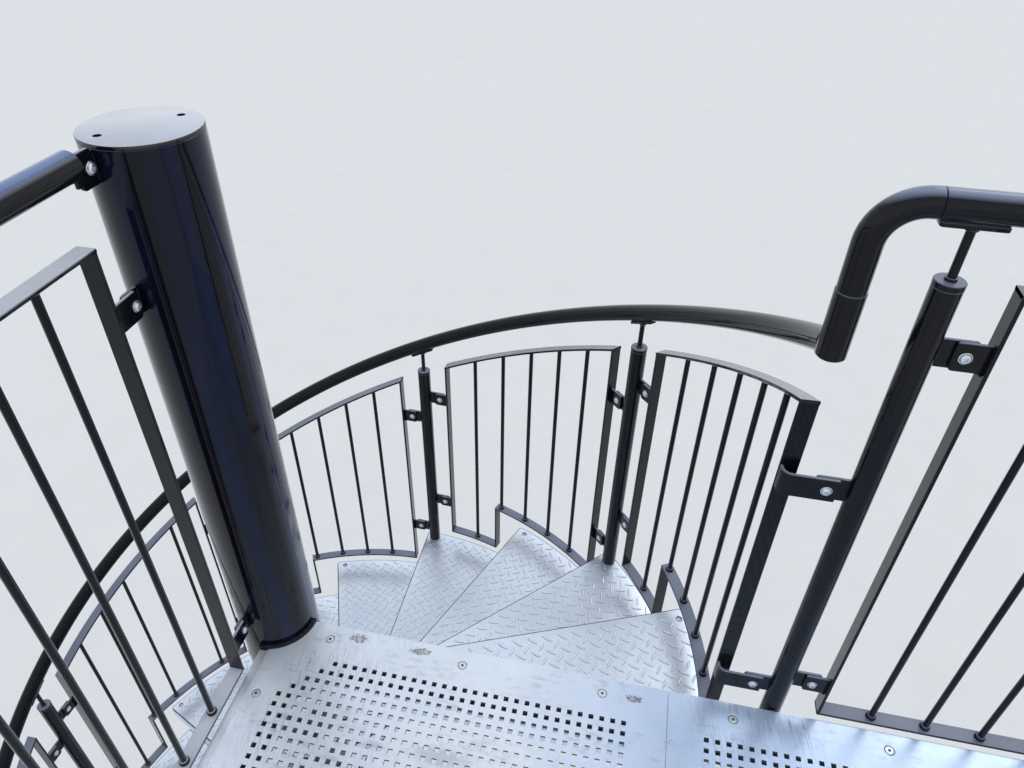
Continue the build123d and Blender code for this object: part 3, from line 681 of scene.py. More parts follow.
def painted_shade_inside(tree, place, colour, rough, metal, height):
    """The channels' inner faces, under the landing's plates, take painted shade: dark and dull."""
    inward = vectors(tree, "SUBTRACT", FRAME_MIDDLE, place)
    looks_in = vectors(tree, "DOT_PRODUCT", inward, normal_of(tree), "Value")
    darkening = span(tree, looks_in, 0.01, 0.03)
    colour = tint(tree, darkening, colour, (0.075, 0.08, 0.09, 1))
    metal = times(tree, metal, span(tree, darkening, 0.0, 1.0, 1.0, 0.15))
    return colour, plus(tree, rough, times(tree, darkening, 0.25)), metal, height


def zinc_plate(name, tone, roughness):
    """Bright zinc plate on the bolts and screws."""
    finish, tree, shader, place = blank_finish(name)
    grain = with_effect(tree, SPANGLE, place=place, crystal_size=0.0016, feather=0.6)
    dust = with_effect(tree, DUST, place=place, patch_size=0.01, amount=0.6)["Dust"]
    colour = tint(tree, times(tree, grain["Tone"], 0.35), tone, (0.45, 0.49, 0.53, 1))
    colour = tint(tree, times(tree, dust, 0.3), colour, (0.36, 0.34, 0.30, 1))
    tree.links.new(colour, shader.inputs["Base Color"])
    rough = plus(tree, roughness, times(tree, grain["Tone"], 0.12))
    tree.links.new(rough, shader.inputs["Roughness"])
    tree.links.new(span(tree, dust, 0.0, 1.0, 0.95, 0.5), shader.inputs["Metallic"])
    tree.links.new(raised(tree, grain["Height"], 0.00004), shader.inputs["Normal"])
    return finish


# Each paint's last colour is its painted sky sheen on up-facing faces: strongest on the newel cap and the
# left panel's flats, bluer on the left rail, near black on the stair rail and the cuff.
PAINT_TUBE = black_paint("gloss black paint on tube", 0.0045, 0.16, 0.16, painted_sheen=(0.23, 0.26, 0.36, 1))
PAINT_STAIR_RAIL = black_paint(
    "gloss black paint on stair rail", 0.0045, 0.11, 0.07, gloss=1.26, painted_sheen=(0.008, 0.009, 0.012, 1),
    coat=0.5,
)
PAINT_CUFF = black_paint(
    "gloss black paint on cuff", 0.006, 0.18, 0.10, gloss=1.3, painted_sheen=(0.012, 0.014, 0.024, 1)
)
# The newel's navy bands are painted reflections.
PAINT_NEWEL = black_paint("gloss black paint on newel", 0.009, 0.12, 0.12, SIDEWAYS, 1.27, painted_reflection_bands=0.7)
PAINT_FLAT = black_paint("gloss black paint on flats", 0.003, 0.22, 0.22, SIDEWAYS, 1.29)
PAINT_LEFT_FLAT = black_paint(
    "gloss black paint on left panel", 0.003, 0.22, 0.22, SIDEWAYS, 1.29, (0.55, 0.575, 0.65, 1)
)
PAINT_LEFT_RAIL = black_paint(
    "gloss black paint on left rail", 0.0045, 0.16, 0.16, painted_sheen=(0.17, 0.23, 0.41, 1)
)
PAINT_CAP = black_paint(
    "gloss black paint on newel cap", 0.006, 0.30, 0.12, (0, 0, radians(30)), 1.60, (0.52, 0.55, 0.63, 1)
)
ZINC_TREAD = galvanised(
    "galvanised checker plate", 0.010, (0.83, 0.905, 1.0, 1), (0.62, 0.71, 0.88, 1), 0.33, 0.26
)
ZINC_DECK = galvanised(
    "galvanised landing plate", 0.016, (0.85, 0.91, 0.98, 1), (0.70, 0.78, 0.92, 1), 0.27, 0.32,
    rubbed_marks, shine=0.46,
)
# The frame's inner faces take painted shade.
ZINC_FRAME = galvanised(
    "galvanised frame channel", 0.012, (0.87, 0.915, 0.97, 1), (0.68, 0.75, 0.85, 1), 0.36, 0.2, painted_shade_inside
)
# A dark zinc: darker along the treads' eased nosings and round each screw head, and painted shade in the
# deck's holes, the post holes and the screw sockets.
ZINC_DARK_EDGE = galvanised(
    "dark edge zinc and painted hole shade", 0.006, (0.11, 0.112, 0.108, 1), (0.06, 0.062, 0.062, 1), 0.6, 0.1
)
# The lens flanks' dark blue is painted shade; the paler lens crowns are rubbed zinc with a painted highlight.
ZINC_FLANK_SHADE = galvanised(
    "painted shade on checker lens flank", 0.006, (0.12, 0.18, 0.31, 1), (0.08, 0.12, 0.22, 1), 0.42, 0.1
)
ZINC_CROWN_WEAR_AND_HIGHLIGHT = galvanised(
    "worn checker lens crown with painted highlight", 0.006, (0.92, 0.945, 0.975, 1), (0.80, 0.85, 0.91, 1), 0.30, 0.1
)
ZINC_BOLT = zinc_plate("zinc plated bolts", (0.72, 0.77, 0.82, 1), 0.24)
ZINC_SCREW = zinc_plate("zinc plated deck screws", (0.86, 0.89, 0.92, 1), 0.32)
BLACK = (PAINT_FLAT, ZINC_BOLT)


def bolt(steel, place, grip, nut=True):
    """A socket button-head bolt: the head lies on the place's origin and looks along its third axis."""
    paint, steel.finish = steel.finish, 1
    steel.spun(((0.0092, 0), (0.0092, 0.0010), (0.0087, 0.0014)), place, 20)
    dome = ((0.0079, 0.0012), (0.0078, 0.0022), (0.0068, 0.0038), (0.0052, 0.0049), (0.0036, 0.0052))
    steel.spun(dome + ((0.0027, 0.0051), (0.0024, 0.0024), (0.0001, 0.0020)), place, 20)
    if nut:
        back = place @ at(0, 0, -grip) @ turned(180, "X")
        steel.spun(((0.0102, 0), (0.0102, 0.0013), (0.0096, 0.0016)), back, 20)
        steel.spun(((0.0092, 0.0014), (0.0096, 0.0024), (0.0096, 0.0072), (0.0086, 0.0080)), back, 6)
        steel.spun(((0.0048, 0.0070), (0.0048, 0.0108), (0.0040, 0.0116)), back, 12)
    steel.finish = paint


def weld_ring(steel, place, radius, reach, sides):
    """A weld bead round a bar or tube where it meets a plate."""
    profile = ((radius - 0.001, -0.0004), (radius + reach, 0), (radius + reach * 0.82, reach * 0.5))
    steel.spun(profile + ((radius + reach * 0.35, reach * 0.9), (radius - 0.0004, reach * 1.1)), place, sides)


def weld_run(steel, x, y, low, high, size):
    """A weld bead that stands along an upright joint."""
    place = at(x, y, low)
    section = round_section(size, 8)
    ends = ((0.3, 0), (1.0, 0.12), (1.0, 0.88), (0.3, 1))
    steel.skin([
        [place @ Vector((u * grow, v * grow, (high - low) * share)) for u, v in section]
        for grow, share in ends
    ])


def lug_weld(steel, x, y, height, size):
    """The weld bead up one edge of a lug."""
    weld_run(steel, x, y, height - WELD_HALF, height + WELD_HALF, size)


def infill(steel, place, low, high):
    """One round bar of a panel, with its weld collars above and below the foot flat."""
    rod = ((0.0052, low - 0.0090), (ROD_RADIUS, low - 0.0082), (ROD_RADIUS, high))
    steel.spun(rod, place, ROD_SIDES)
    collar = ((0.0088, 0), (0.0101, 0.0018), (0.0099, 0.0052), (0.0084, 0.0078), (0.0064, 0.0092))
    steel.spun(collar, place @ at(0, 0, low + FLAT_THICKNESS - 0.0004), ROD_SIDES)
    steel.spun(collar, place @ at(0, 0, low + 0.0004) @ turned(180, "X"), ROD_SIDES)
    weld_ring(steel, place @ at(0, 0, high - 0.0030) @ turned(180, "X"), ROD_RADIUS, 0.0026, ROD_SIDES)


def lug_plate(near, far, gusset=0.0):
    """A lug's outline from its welded end to its free end; a gusset curves down at the weld."""
    half = LUG_HEIGHT / 2
    sign = 1 if far > near else -1
    radii = (0, 0.006, 0.006, 0) if sign > 0 else (0.006, 0, 0, 0.006)
    outline = rounded_plate(min(near, far), max(near, far), -half, half, radii)
    if not gusset:
        return outline
    curve = [radians(22.5 * step) for step in range(5)]
    lead = [(near + sign * gusset * (1 - cos(t)), -half - gusset * (1 - sin(t))) for t in curve]
    return lead + outline[1:] if sign > 0 else outline[:5] + lead[::-1] + outline[6:]


def stair_lugs(steel, side, heights, own):
    """Lugs beside a stair post at the origin whose line runs along Y: the post's own plates
    outside the line, the panel's inside it with the bolt heads."""
    for height in heights:
        if own:
            outline = lug_plate(side * (POST_RADIUS - 0.002), side * (STAIR_BOLT + LUG_END))
            steel.plate(outline, at(LUG_THICKNESS, 0, height) @ stand_across(), LUG_THICKNESS)
            for x in (0.0012, LUG_THICKNESS - 0.0012):
                lug_weld(steel, x, side * (POST_RADIUS + 0.0004), height, 0.0028)
        else:
            outline = lug_plate(side * FLAT_FROM_POST, side * (STAIR_BOLT - LUG_END), LUG_GUSSET)
            steel.plate(outline, at(0, 0, height) @ stand_across(), LUG_THICKNESS)
            head = at(-LUG_THICKNESS, side * STAIR_BOLT, height) @ turned(-90, "Y")
            bolt(steel, head, 2 * LUG_THICKNESS)


def stair_post(steel, on_ground):
    rail = nosing_line(0) + RAIL_OVER_NOSING
    top = rail - RAIL_OVER_POST
    slope = atan2(RISE * 360 / TURN, 2 * pi * RAIL_CIRCLE)
    saddle = rail - (RAIL_RADIUS + 0.0033) / cos(slope)
    post_tube(steel, FOOT_PLATE if on_ground else 0.0, top, saddle)
    seat = at(0, 0, saddle) @ turned(-degrees(slope), "X") @ at(0, 0, -SADDLE_THICKNESS / 2)
    saddle_plate(steel, seat)
    stair_lugs(steel, -1, LOWER_END_LUGS, True)
    if on_ground:
        r, top = FOOT_RADIUS, FOOT_PLATE
        steel.spun(((r - 0.0015, 0), (r, 0.0015), (r, top - 0.0015), (r - 0.0012, top)), None, 48)
        weld_ring(steel, at(0, 0, top), POST_RADIUS, 0.005, 28)
    else:
        stair_lugs(steel, 1, UPPER_END_LUGS, True)
        steel.spun(((0.006, 0.001), (0.006, -0.022), (0.0052, -0.024)), None, 16)


def post_tube(steel, low, top, rod_top):
    """A post with its cap's seam, and the thin rod that carries the rail."""
    seam, r = top - CAP_SEAM, POST_RADIUS
    tube = ((r - 0.0015, low), (r, low + 0.0005), (r, seam - 0.0010))
    groove = ((r - 0.0008, seam - 0.0004), (r - 0.0008, seam + 0.0004))
    cap = ((r + 0.0003, seam + 0.0010), (r + 0.0003, top - 0.0010))
    edge = ((r - 0.0007, top), (0.001, top))
    steel.spun(tube + groove + cap + edge, None, 36)
    collar = ((0.0080, top), (0.0080, top + 0.0022), (0.0071, top + 0.0040), (0.0060, top + 0.0044))
    steel.spun(collar, None, 18)
    steel.spun(((ROD_RADIUS, top - 0.001), (ROD_RADIUS, rod_top)), None, 18)
    weld_ring(steel, at(0, 0, rod_top - 0.0052) @ turned(180, "X"), ROD_RADIUS, 0.0028, 18)


def saddle_plate(steel, seat):
    """The plate under the rail, along Y of its seat."""
    u, v = SADDLE_HALF_WIDTH, SADDLE_HALF_LENGTH
    steel.plate(rounded_plate(-u, u, -v, v, (0.004,) * 4), seat, SADDLE_THICKNESS)


def climbing_places(angles, height_at):
    """Places on the rail's circle that lie at or climb through the given heights."""
    places = []
    for angle in angles:
        t = radians(angle)
        out = Vector((cos(t), sin(t), 0))
        ahead = Vector((-sin(t), cos(t), 0)) * RAIL_CIRCLE * radians(1)
        ahead.z = height_at(angle + 1) - height_at(angle)
        places.append(facing(out * RAIL_CIRCLE + Vector((0, 0, height_at(angle))), out, ahead))
    return places


def steps_between(first, last, step):
    count = max(1, ceil(abs(last - first) / step))
    return [first + (last - first) * i / count for i in range(count + 1)]


def upright(steel, angle, low, high):
    ends = [around(angle) @ at(RAIL_CIRCLE, 0, height) for height in (low, high)]
    steel.run(flat_section(FLAT_WIDTH - 0.0006), ends)


def stair_panel(steel, from_landing):
    first, last = FLAT_LAG, 2 * TURN - FLAT_LAG
    half_flat = degrees(FLAT_THICKNESS / 2 / RAIL_CIRCLE)
    upper, lower = FOOT_OVER_TREAD - RISE, FOOT_OVER_TREAD - 2 * RISE

    def top_rail(angle):
        return nosing_line(angle) + PANEL_TOP - FLAT_THICKNESS / 2

    def flat(start, end, height_at):
        angles = steps_between(start - half_flat, end + half_flat, 1.8)
        steel.run(flat_section(), climbing_places(angles, height_at))

    flat(first, last, top_rail)
    flat(first, STEP_ANGLE, lambda angle: upper - FLAT_THICKNESS / 2)
    flat(STEP_ANGLE, last, lambda angle: lower - FLAT_THICKNESS / 2)
    upright(steel, first, upper - FLAT_THICKNESS + 0.0005, top_rail(first))
    upright(steel, last, lower - FLAT_THICKNESS + 0.0005, top_rail(last))
    upright(steel, STEP_ANGLE, lower - FLAT_THICKNESS + 0.0005, upper - 0.0005)
    for count in range(1, STAIR_RODS + 1):
        angle = first + (last - first) * count / (STAIR_RODS + 1)
        low = (upper if angle < STEP_ANGLE else lower) - FLAT_THICKNESS
        infill(steel, around(angle) @ at(RAIL_CIRCLE, 0), low, top_rail(angle))
    base = steel.place
    steel.place = base @ around(2 * TURN, -2 * RISE) @ at(RAIL_CIRCLE, 0)
    stair_lugs(steel, -1, LOWER_END_LUGS, False)
    steel.place = base
    if from_landing:
        hooked_lugs(steel, first)
    else:
        steel.place = base @ at(RAIL_CIRCLE, 0)
        stair_lugs(steel, 1, UPPER_END_LUGS, False)
        steel.place = base


def hooked_lugs(steel, first):
    """Flats that leave the top panel's end upright towards the landing and bend round to its post."""
    base = steel.place
    steel.place = base @ around(-post_angle(0))
    turn_radius = 0.015
    line = RAIL_OUTSIDE - LUG_THICKNESS / 2
    start_x = RAIL_CIRCLE - FLAT_WIDTH / 2 + LUG_THICKNESS / 2
    end_x = STAIR_POST_X - STAIR_BOLT + LUG_END
    start_y = RAIL_CIRCLE * sin(radians(post_angle(0) + first)) - 0.001
    for height in UPPER_END_LUGS:
        places = [facing((start_x, start_y, height), (0, 0, 1), (0, -1, 0))]
        for step in range(7):
            t = radians(180 + 90 * step / 6)
            centre = Vector((start_x + turn_radius, line + turn_radius, height))
            along = Vector((-sin(t), cos(t), 0))
            origin = centre + Vector((cos(t), sin(t), 0)) * turn_radius
            places.append(facing(origin, (0, 0, 1), along))
        places.append(facing((end_x, line, height), (0, 0, 1), (1, 0, 0)))
        steel.run(flat_section(LUG_HEIGHT, LUG_THICKNESS, 0.0008), places)
        head = at(STAIR_POST_X - STAIR_BOLT, line - LUG_THICKNESS / 2, height) @ turned(90, "X")
        bolt(steel, head, 2 * LUG_THICKNESS)
        lug_weld(steel, start_x, start_y - 0.0016, height, 0.003)
    steel.place = base


def landing_post(steel, lug_sets, cleats, saddle_turn):
    """A landing post at the origin: its lugs lie outside or inside the rail's line."""
    saddle = RAIL_OVER_FLOOR - RAIL_RADIUS - 0.0003
    post_tube(steel, -POST_DROP, POST_OVER_FLOOR, saddle - SADDLE_THICKNESS / 2)
    saddle_plate(steel, at(0, 0, saddle - SADDLE_THICKNESS) @ turned(saddle_turn - 90, "Z"))
    base = steel.place
    for direction, heights, outer in lug_sets:
        steel.place = base @ turned(direction, "Z")
        low = 0 if outer else -LUG_THICKNESS
        for height in heights:
            outline = lug_plate(POST_RADIUS - 0.002, LANDING_BOLT + LUG_END)
            steel.plate(outline, at(0, low, height) @ stand_along(), LUG_THICKNESS)
            for y in (low + 0.0012, low + LUG_THICKNESS - 0.0012):
                lug_weld(steel, POST_RADIUS + 0.0004, y, height, 0.0028)
    for direction, (start, end) in cleats:
        steel.place = base @ turned(direction, "Z")
        outline = rounded_plate(start, end, -POST_DROP, -CLEAT_TOP, (0.003,) * 4)
        steel.plate(outline, at(0, -RAIL_OUTSIDE, 0) @ stand_along(), LUG_THICKNESS)
        beyond_post = [x for x in (start + 0.010, end - 0.010) if abs(x) > POST_RADIUS + 0.001]
        for x in beyond_post:
            for z in CLEAT_BOLTS:
                bolt(steel, at(x, -RAIL_OUTSIDE + LUG_THICKNESS, z) @ turned(-90, "X"), 0, nut=False)
        y = -RAIL_OUTSIDE + 0.0080
        for x in (-0.0165, 0.0165):
            weld_run(steel, x, y, -POST_DROP + 0.002, -CLEAT_TOP - 0.002, 0.003)
    steel.place = base


def landing_panel(steel, length, lug_side, start_lugs, end_lugs):
    """A flat panel along X from its first end flat. The lugs lie on one side of its line:
    each end gives how far the plates reach, where the bolt is past the flat, and the heights."""
    low, high = PANEL_FOOT, PANEL_HEAD
    half = FLAT_THICKNESS / 2
    for height in (low + half, high - half):
        rail = [facing((x, 0, height), (0, 1, 0), (1, 0, 0)) for x in (0, length)]
        steel.run(flat_section(), rail)
    for x in (half, length - half):
        ends = [facing((x, 0, z), (0, 1, 0), (0, 0, 1)) for z in (low + 0.0005, high - 0.0005)]
        steel.run(flat_section(FLAT_WIDTH - 0.0006), ends)
    gaps = round((length - FLAT_THICKNESS) / ROD_SPACING)
    for count in range(1, gaps):
        x = half + count * (length - FLAT_THICKNESS) / gaps
        infill(steel, at(x, 0), low, high - half)
    near = -LUG_THICKNESS if lug_side < 0 else 0.0
    face = near if lug_side < 0 else LUG_THICKNESS
    turn = 90 if lug_side < 0 else -90
    for (reach, bolt_out, heights), at_start in ((start_lugs, True), (end_lugs, False)):
        sign = -1 if at_start else 1
        weld = 0.002 if at_start else length - 0.002
        flat_face = 0 if at_start else length
        for height in heights:
            outline = lug_plate(weld, flat_face + sign * reach, LUG_GUSSET)
            steel.plate(outline, at(0, near, height) @ stand_along(), LUG_THICKNESS)
            head = at(flat_face + sign * bolt_out, face, height) @ turned(turn, "X")
            bolt(steel, head, 2 * LUG_THICKNESS)


# The camera stands where the photograph was taken, just over the landing.
CAMERA_PLACE = Vector((0.70465, -0.91192, 4.32344))
CAMERA_YAW = 0.19243
CAMERA_PITCH = 0.65326
CAMERA_ROLL = 0.0207
CAMERA_LENS = 26.445

# The lamp, the place it shines on, and the pale floor
SUN_PLACE = Vector((3.5, 5.0, 7.0))
SUN_TARGET = Vector((0, 0, 1.4))
SUN_ENERGY = 0.38
SUN_WIDTH = 26
FLOOR_HALF = 60


def set_camera():
    ahead = Vector((
        -sin(CAMERA_YAW) * cos(CAMERA_PITCH), cos(CAMERA_YAW) * cos(CAMERA_PITCH), -sin(CAMERA_PITCH)
    ))
    right = Vector((cos(CAMERA_YAW), sin(CAMERA_YAW), 0))
    up = right.cross(ahead)
    across = right * cos(CAMERA_ROLL) + up * sin(CAMERA_ROLL)
    above = up * cos(CAMERA_ROLL) - right * sin(CAMERA_ROLL)
    lens = bpy.data.cameras.new("camera")
    lens.lens = CAMERA_LENS
    lens.sensor_width = 36.0
    lens.sensor_fit = "HORIZONTAL"
    lens.clip_start = 0.02
    lens.clip_end = 400.0
    camera = bpy.data.objects.new("camera", lens)
    turn = Matrix((across, above, -ahead)).transposed().to_4x4()
    camera.matrix_world = Matrix.Translation(CAMERA_PLACE) @ turn
    bpy.context.scene.collection.objects.link(camera)
    bpy.context.scene.camera = camera


def set_light():
    """A pale room, brighter round its sides than overhead, and one soft lamp for the shadows."""
    world = bpy.data.worlds.new("pale studio")
    bpy.context.scene.world = world
    world.use_nodes = True
    tree = world.node_tree
    tree.nodes.clear()
    outward = put(tree, "ShaderNodeTexCoord").outputs["Generated"]
    height = put(tree, "ShaderNodeSeparateXYZ", {0: outward}).outputs["Z"]
    sky = tint(tree, span(tree, height, 0.0, 0.5), (0.95, 0.95, 0.95, 1), (0.86, 0.92, 1.0, 1))
    low_bright = span(tree, height, 0.50, 0.74, 1.10, 0.90)
    sheet = put(tree, "ShaderNodeBackground", {"Color": sky, "Strength": low_bright})
    out = put(tree, "ShaderNodeOutputWorld")
    tree.links.new(sheet.outputs[0], out.inputs["Surface"])
    light = bpy.data.lights.new("soft_sun", "SUN")
    light.energy = SUN_ENERGY
    light.angle = radians(SUN_WIDTH)
    light.color = (1.0, 0.985, 0.96)
    sun = bpy.data.objects.new("soft_sun", light)
    turn = (SUN_TARGET - SUN_PLACE).to_track_quat("-Z", "Y").to_matrix().to_4x4()
    sun.matrix_world = Matrix.Translation(SUN_PLACE) @ turn
    bpy.context.scene.collection.objects.link(sun)


def set_floor():
    steel = Steelwork()
    corners = ((-1, -1), (1, -1), (1, 1), (-1, 1))
    steel.face(steel.ring([(x * FLOOR_HALF, y * FLOOR_HALF, 0) for x, y in corners]))
    mesh = mesh_of("studio_floor", steel, outward=False)
    finish, tree, shader, place = blank_finish("pale studio floor")
    mottle = noise(tree, place, 3.0, 4.0)
    tone = tint(tree, span(tree, mottle, 0.3, 0.7), (0.76, 0.755, 0.745, 1), (0.78, 0.775, 0.765, 1))
    tree.links.new(tone, shader.inputs["Base Color"])
    shader.inputs["Roughness"].default_value = 0.9
    shader.inputs["Specular IOR Level"].default_value = 0.1
    mesh.materials.append(finish)
    floor = bpy.data.objects.new("studio_floor", mesh)
    bpy.context.scene.collection.objects.link(floor)


# Newel
def set_newel():
    steel = Steelwork()
    under = NEWEL_TOP - CAP_THICKNESS
    r = NEWEL_RADIUS
    tube = ((r - 0.0010, FLANGE_TOP), (r, FLANGE_TOP + 0.001), (r, under - 0.0012))
    steel.spun(tube + ((r - 0.0007, under - 0.0004), (r - 0.0007, under)), None, 128)
    weld_ring(steel, at(0, 0, FLANGE_TOP), r, 0.007, 96)
    start = -sqrt(r * r - RAIL_OUTSIDE**2) + 0.002
    outline = lug_plate(start, -NEWEL_BOLT - LUG_END)
    for height in (*NEWEL_LUGS, NEWEL_RAIL_LUG):
        z = FLOOR_LEVEL + height
        steel.plate(outline, at(-RAIL_OUTSIDE, 0, z) @ stand_across(), LUG_THICKNESS)
        for x in (-RAIL_OUTSIDE - 0.0008, -RAIL_OUTSIDE - LUG_THICKNESS + 0.0008):
            lug_weld(steel, x, start - 0.0030, z, 0.0032)
    made("newel_tube", steel, (PAINT_NEWEL, ZINC_BOLT), ["newel_column"])
    cap = Steelwork()
    side = ((r - 0.0008, under), (r, under + 0.0008), (r, NEWEL_TOP - 0.0016))
    top = ((r - 0.0005, NEWEL_TOP - 0.0005), (r - 0.0016, NEWEL_TOP), (0.002, NEWEL_TOP))
    cap.spun(side + top, None, 128)
    holes = Steelwork()
    bore = ((CAP_HOLE_RADIUS, under + 0.0005), (CAP_HOLE_RADIUS, NEWEL_TOP + 0.01))
    for x, y in arc(0, 0, CAP_HOLES, CAP_HOLE_TURNS):
        holes.spun(bore, at(x, y), 28)
    made("newel_top_plate", cap, (PAINT_CAP,), ["newel_cap"], cutters=(holes,))


def anchor_bolts():
    steel = Steelwork()
    for count in range(ANCHORS):
        place = around(360 / ANCHORS * count, FLANGE_TOP) @ at(ANCHOR_CIRCLE, 0)
        steel.spun(((0.0140, 0), (0.0140, 0.0018), (0.0130, 0.0024)), place, 24)
        steel.spun(((0.0100, 0.002), (0.0108, 0.0030), (0.0108, 0.0105), (0.0098, 0.0115)), place, 6)
        steel.spun(((0.0060, 0.010), (0.0060, 0.0185), (0.0050, 0.0195)), place, 16)
    made("anchor_bolts", steel, (ZINC_BOLT,))


# Treads
def tread_outline():
    """The plan of a tread whose front edge runs along +X, from its collar's wall to its rim."""
    inner = COLLAR_RADIUS - TREAD_PLATE
    outer = TREAD_RADIUS - 0.0001
    reach = outer - NOSE_CORNER
    centre_y = -NOSING_OFFSET - NOSE_CORNER
    centre_x = sqrt(reach**2 - centre_y**2)
    outline = [(sqrt(inner**2 - NOSING_OFFSET**2), -NOSING_OFFSET)]
    nose_end = degrees(atan2(centre_y, centre_x))
    outline += arc(centre_x, centre_y, NOSE_CORNER, steps_between(90, nose_end, 15))
    back_out = -TURN - degrees(asin(TREAD_BACK / outer))
    outline += arc(0, 0, outer, steps_between(nose_end, back_out, 1.2)[1:])
    back_in = -TURN - degrees(asin(TREAD_BACK / inner))
    front_in = -degrees(asin(NOSING_OFFSET / inner))
    return outline + arc(0, 0, inner, steps_between(back_in, front_in, 6)[:-1])


def inside(outline, x, y):
    hit = False
    for (x1, y1), (x2, y2) in zip(outline, outline[1:] + outline[:1]):
        if (y1 > y) != (y2 > y) and x < (x2 - x1) * (y - y1) / (y2 - y1) + x1:
            hit = not hit
    return hit


CHECKER_PITCH = 0.038
CHECKER_START = (0.0345, 0.0120)
CHECKER_ROWS = 14
LENS_LENGTH = 0.0155
LENS_WIDTH = 0.0035
LENS_TURNS = (50, -42)
LENS_HEIGHT = 0.0017
LENS_TO_EDGE = 0.0028
LENS_TO_COLLAR = 0.004
LENS_TO_HOLE = 0.021


def checker_lens(steel, x, y, turn):
    """One raised lens of the checker plate."""
    place = at(x, y, -0.0002) @ turned(turn, "Z")
    stations = (-1.0, -0.62, -0.22, 0.22, 0.62, 1.0)
    upper = [(LENS_LENGTH * s, LENS_WIDTH * (1 - s * s)) for s in stations]
    outline = upper + [(u, -v) for u, v in reversed(upper[1:-1])]
    layers = ((1.0, 1.0, 0.0), (0.93, 0.66, 0.62), (0.78, 0.26, 1.0))
    steel.skin([
        [place @ Vector((u * a, v * b, LENS_HEIGHT * c)) for u, v in outline] for a, b, c in layers
    ])


def tread_steel():
    """The folded pan with an eased nosing, and its collar. The pan's outline comes with it."""
    steel = Steelwork()
    outline = tread_outline()
    layers = []
    for step in range(4):
        t = radians(90 * step / 3)
        layers.append((drawn_in(outline, max(TREAD_PLATE * (1 - sin(t)), 0.0)), -TREAD_PLATE * (1 - cos(t))))
    inner = drawn_in(outline, TREAD_PLATE)
    layers += [(outline, -TREAD_FLANGE), (inner, -TREAD_FLANGE), (inner, -TREAD_PLATE)]
    steel.skin([[(x, y, z) for x, y in line] for line, z in layers])
    wall = ((COLLAR_BORE, -COLLAR_HEIGHT), (COLLAR_RADIUS - 0.0008, -COLLAR_HEIGHT))
    wall += ((COLLAR_RADIUS, -COLLAR_HEIGHT + 0.0008), (COLLAR_RADIUS, -0.0008), (COLLAR_RADIUS - 0.0008, 0))
    hoop(steel, wall + ((COLLAR_BORE, 0),), 72)
    return steel, outline


def hoop(steel, profile, sides):
    """A closed profile turned about the steelwork's third axis, such as a collar."""
    loops = []
    for cosine, sine in round_section(1.0, sides):
        loops.append(steel.ring([(r * cosine, r * sine, z) for r, z in profile]))
    count = len(profile)
    for i in range(sides):
        low, high = loops[i], loops[(i + 1) % sides]
        for k in range(count):
            m = (k + 1) % count
            steel.face((low[k], low[m], high[m], high[k]))


def lens_spots(outline, hole_x, hole_y):
    """Where whole lenses stand on a tread, clear of its edges, its collar and its post hole."""
    tight = drawn_in(outline, LENS_TO_EDGE)
    columns = int(TREAD_RADIUS / CHECKER_PITCH) + 2
    for row in range(CHECKER_ROWS):
        for column in range(columns):
            for kind, turn in enumerate(LENS_TURNS):
                x = CHECKER_START[0] + (column + 0.5 * kind) * CHECKER_PITCH
                y = CHECKER_START[1] - (row + 0.5 * kind) * CHECKER_PITCH
                tip = Vector((cos(radians(turn)), sin(radians(turn)))) * LENS_LENGTH * 0.92
                ends = ((x + tip.x, y + tip.y), (x - tip.x, y - tip.y), (x, y))
                whole = all(inside(tight, *end) for end in ends)
                off_collar = min(Vector(end).length for end in ends) >= COLLAR_RADIUS + LENS_TO_COLLAR
                if whole and off_collar and Vector((x - hole_x, y - hole_y)).length >= LENS_TO_HOLE:
                    yield x, y, turn


def pan_of(pan, hole):
    """The folded pan with its post hole cut: its eased nosing, darker along the edge, and the post hole's
    wall, as painted shade, are marked for the darker finish.
    """
    bore = Steelwork()
    bore.spun(((POST_HOLE_RADIUS, -0.02), (POST_HOLE_RADIUS, 0.02)), Matrix.Translation(hole), 28)
    mesh = cut(mesh_of("tread_pan", pan), bore)
    for side in mesh.polygons:
        eased = side.center.z > -TREAD_PLATE - 0.0001 and 0.02 < side.normal.z < 0.97
        to_hole = (side.center.to_2d() - hole.to_2d()).length
        side.material_index = 1 if eased or to_hole < POST_HOLE_RADIUS + 0.0005 else 0
    return mesh


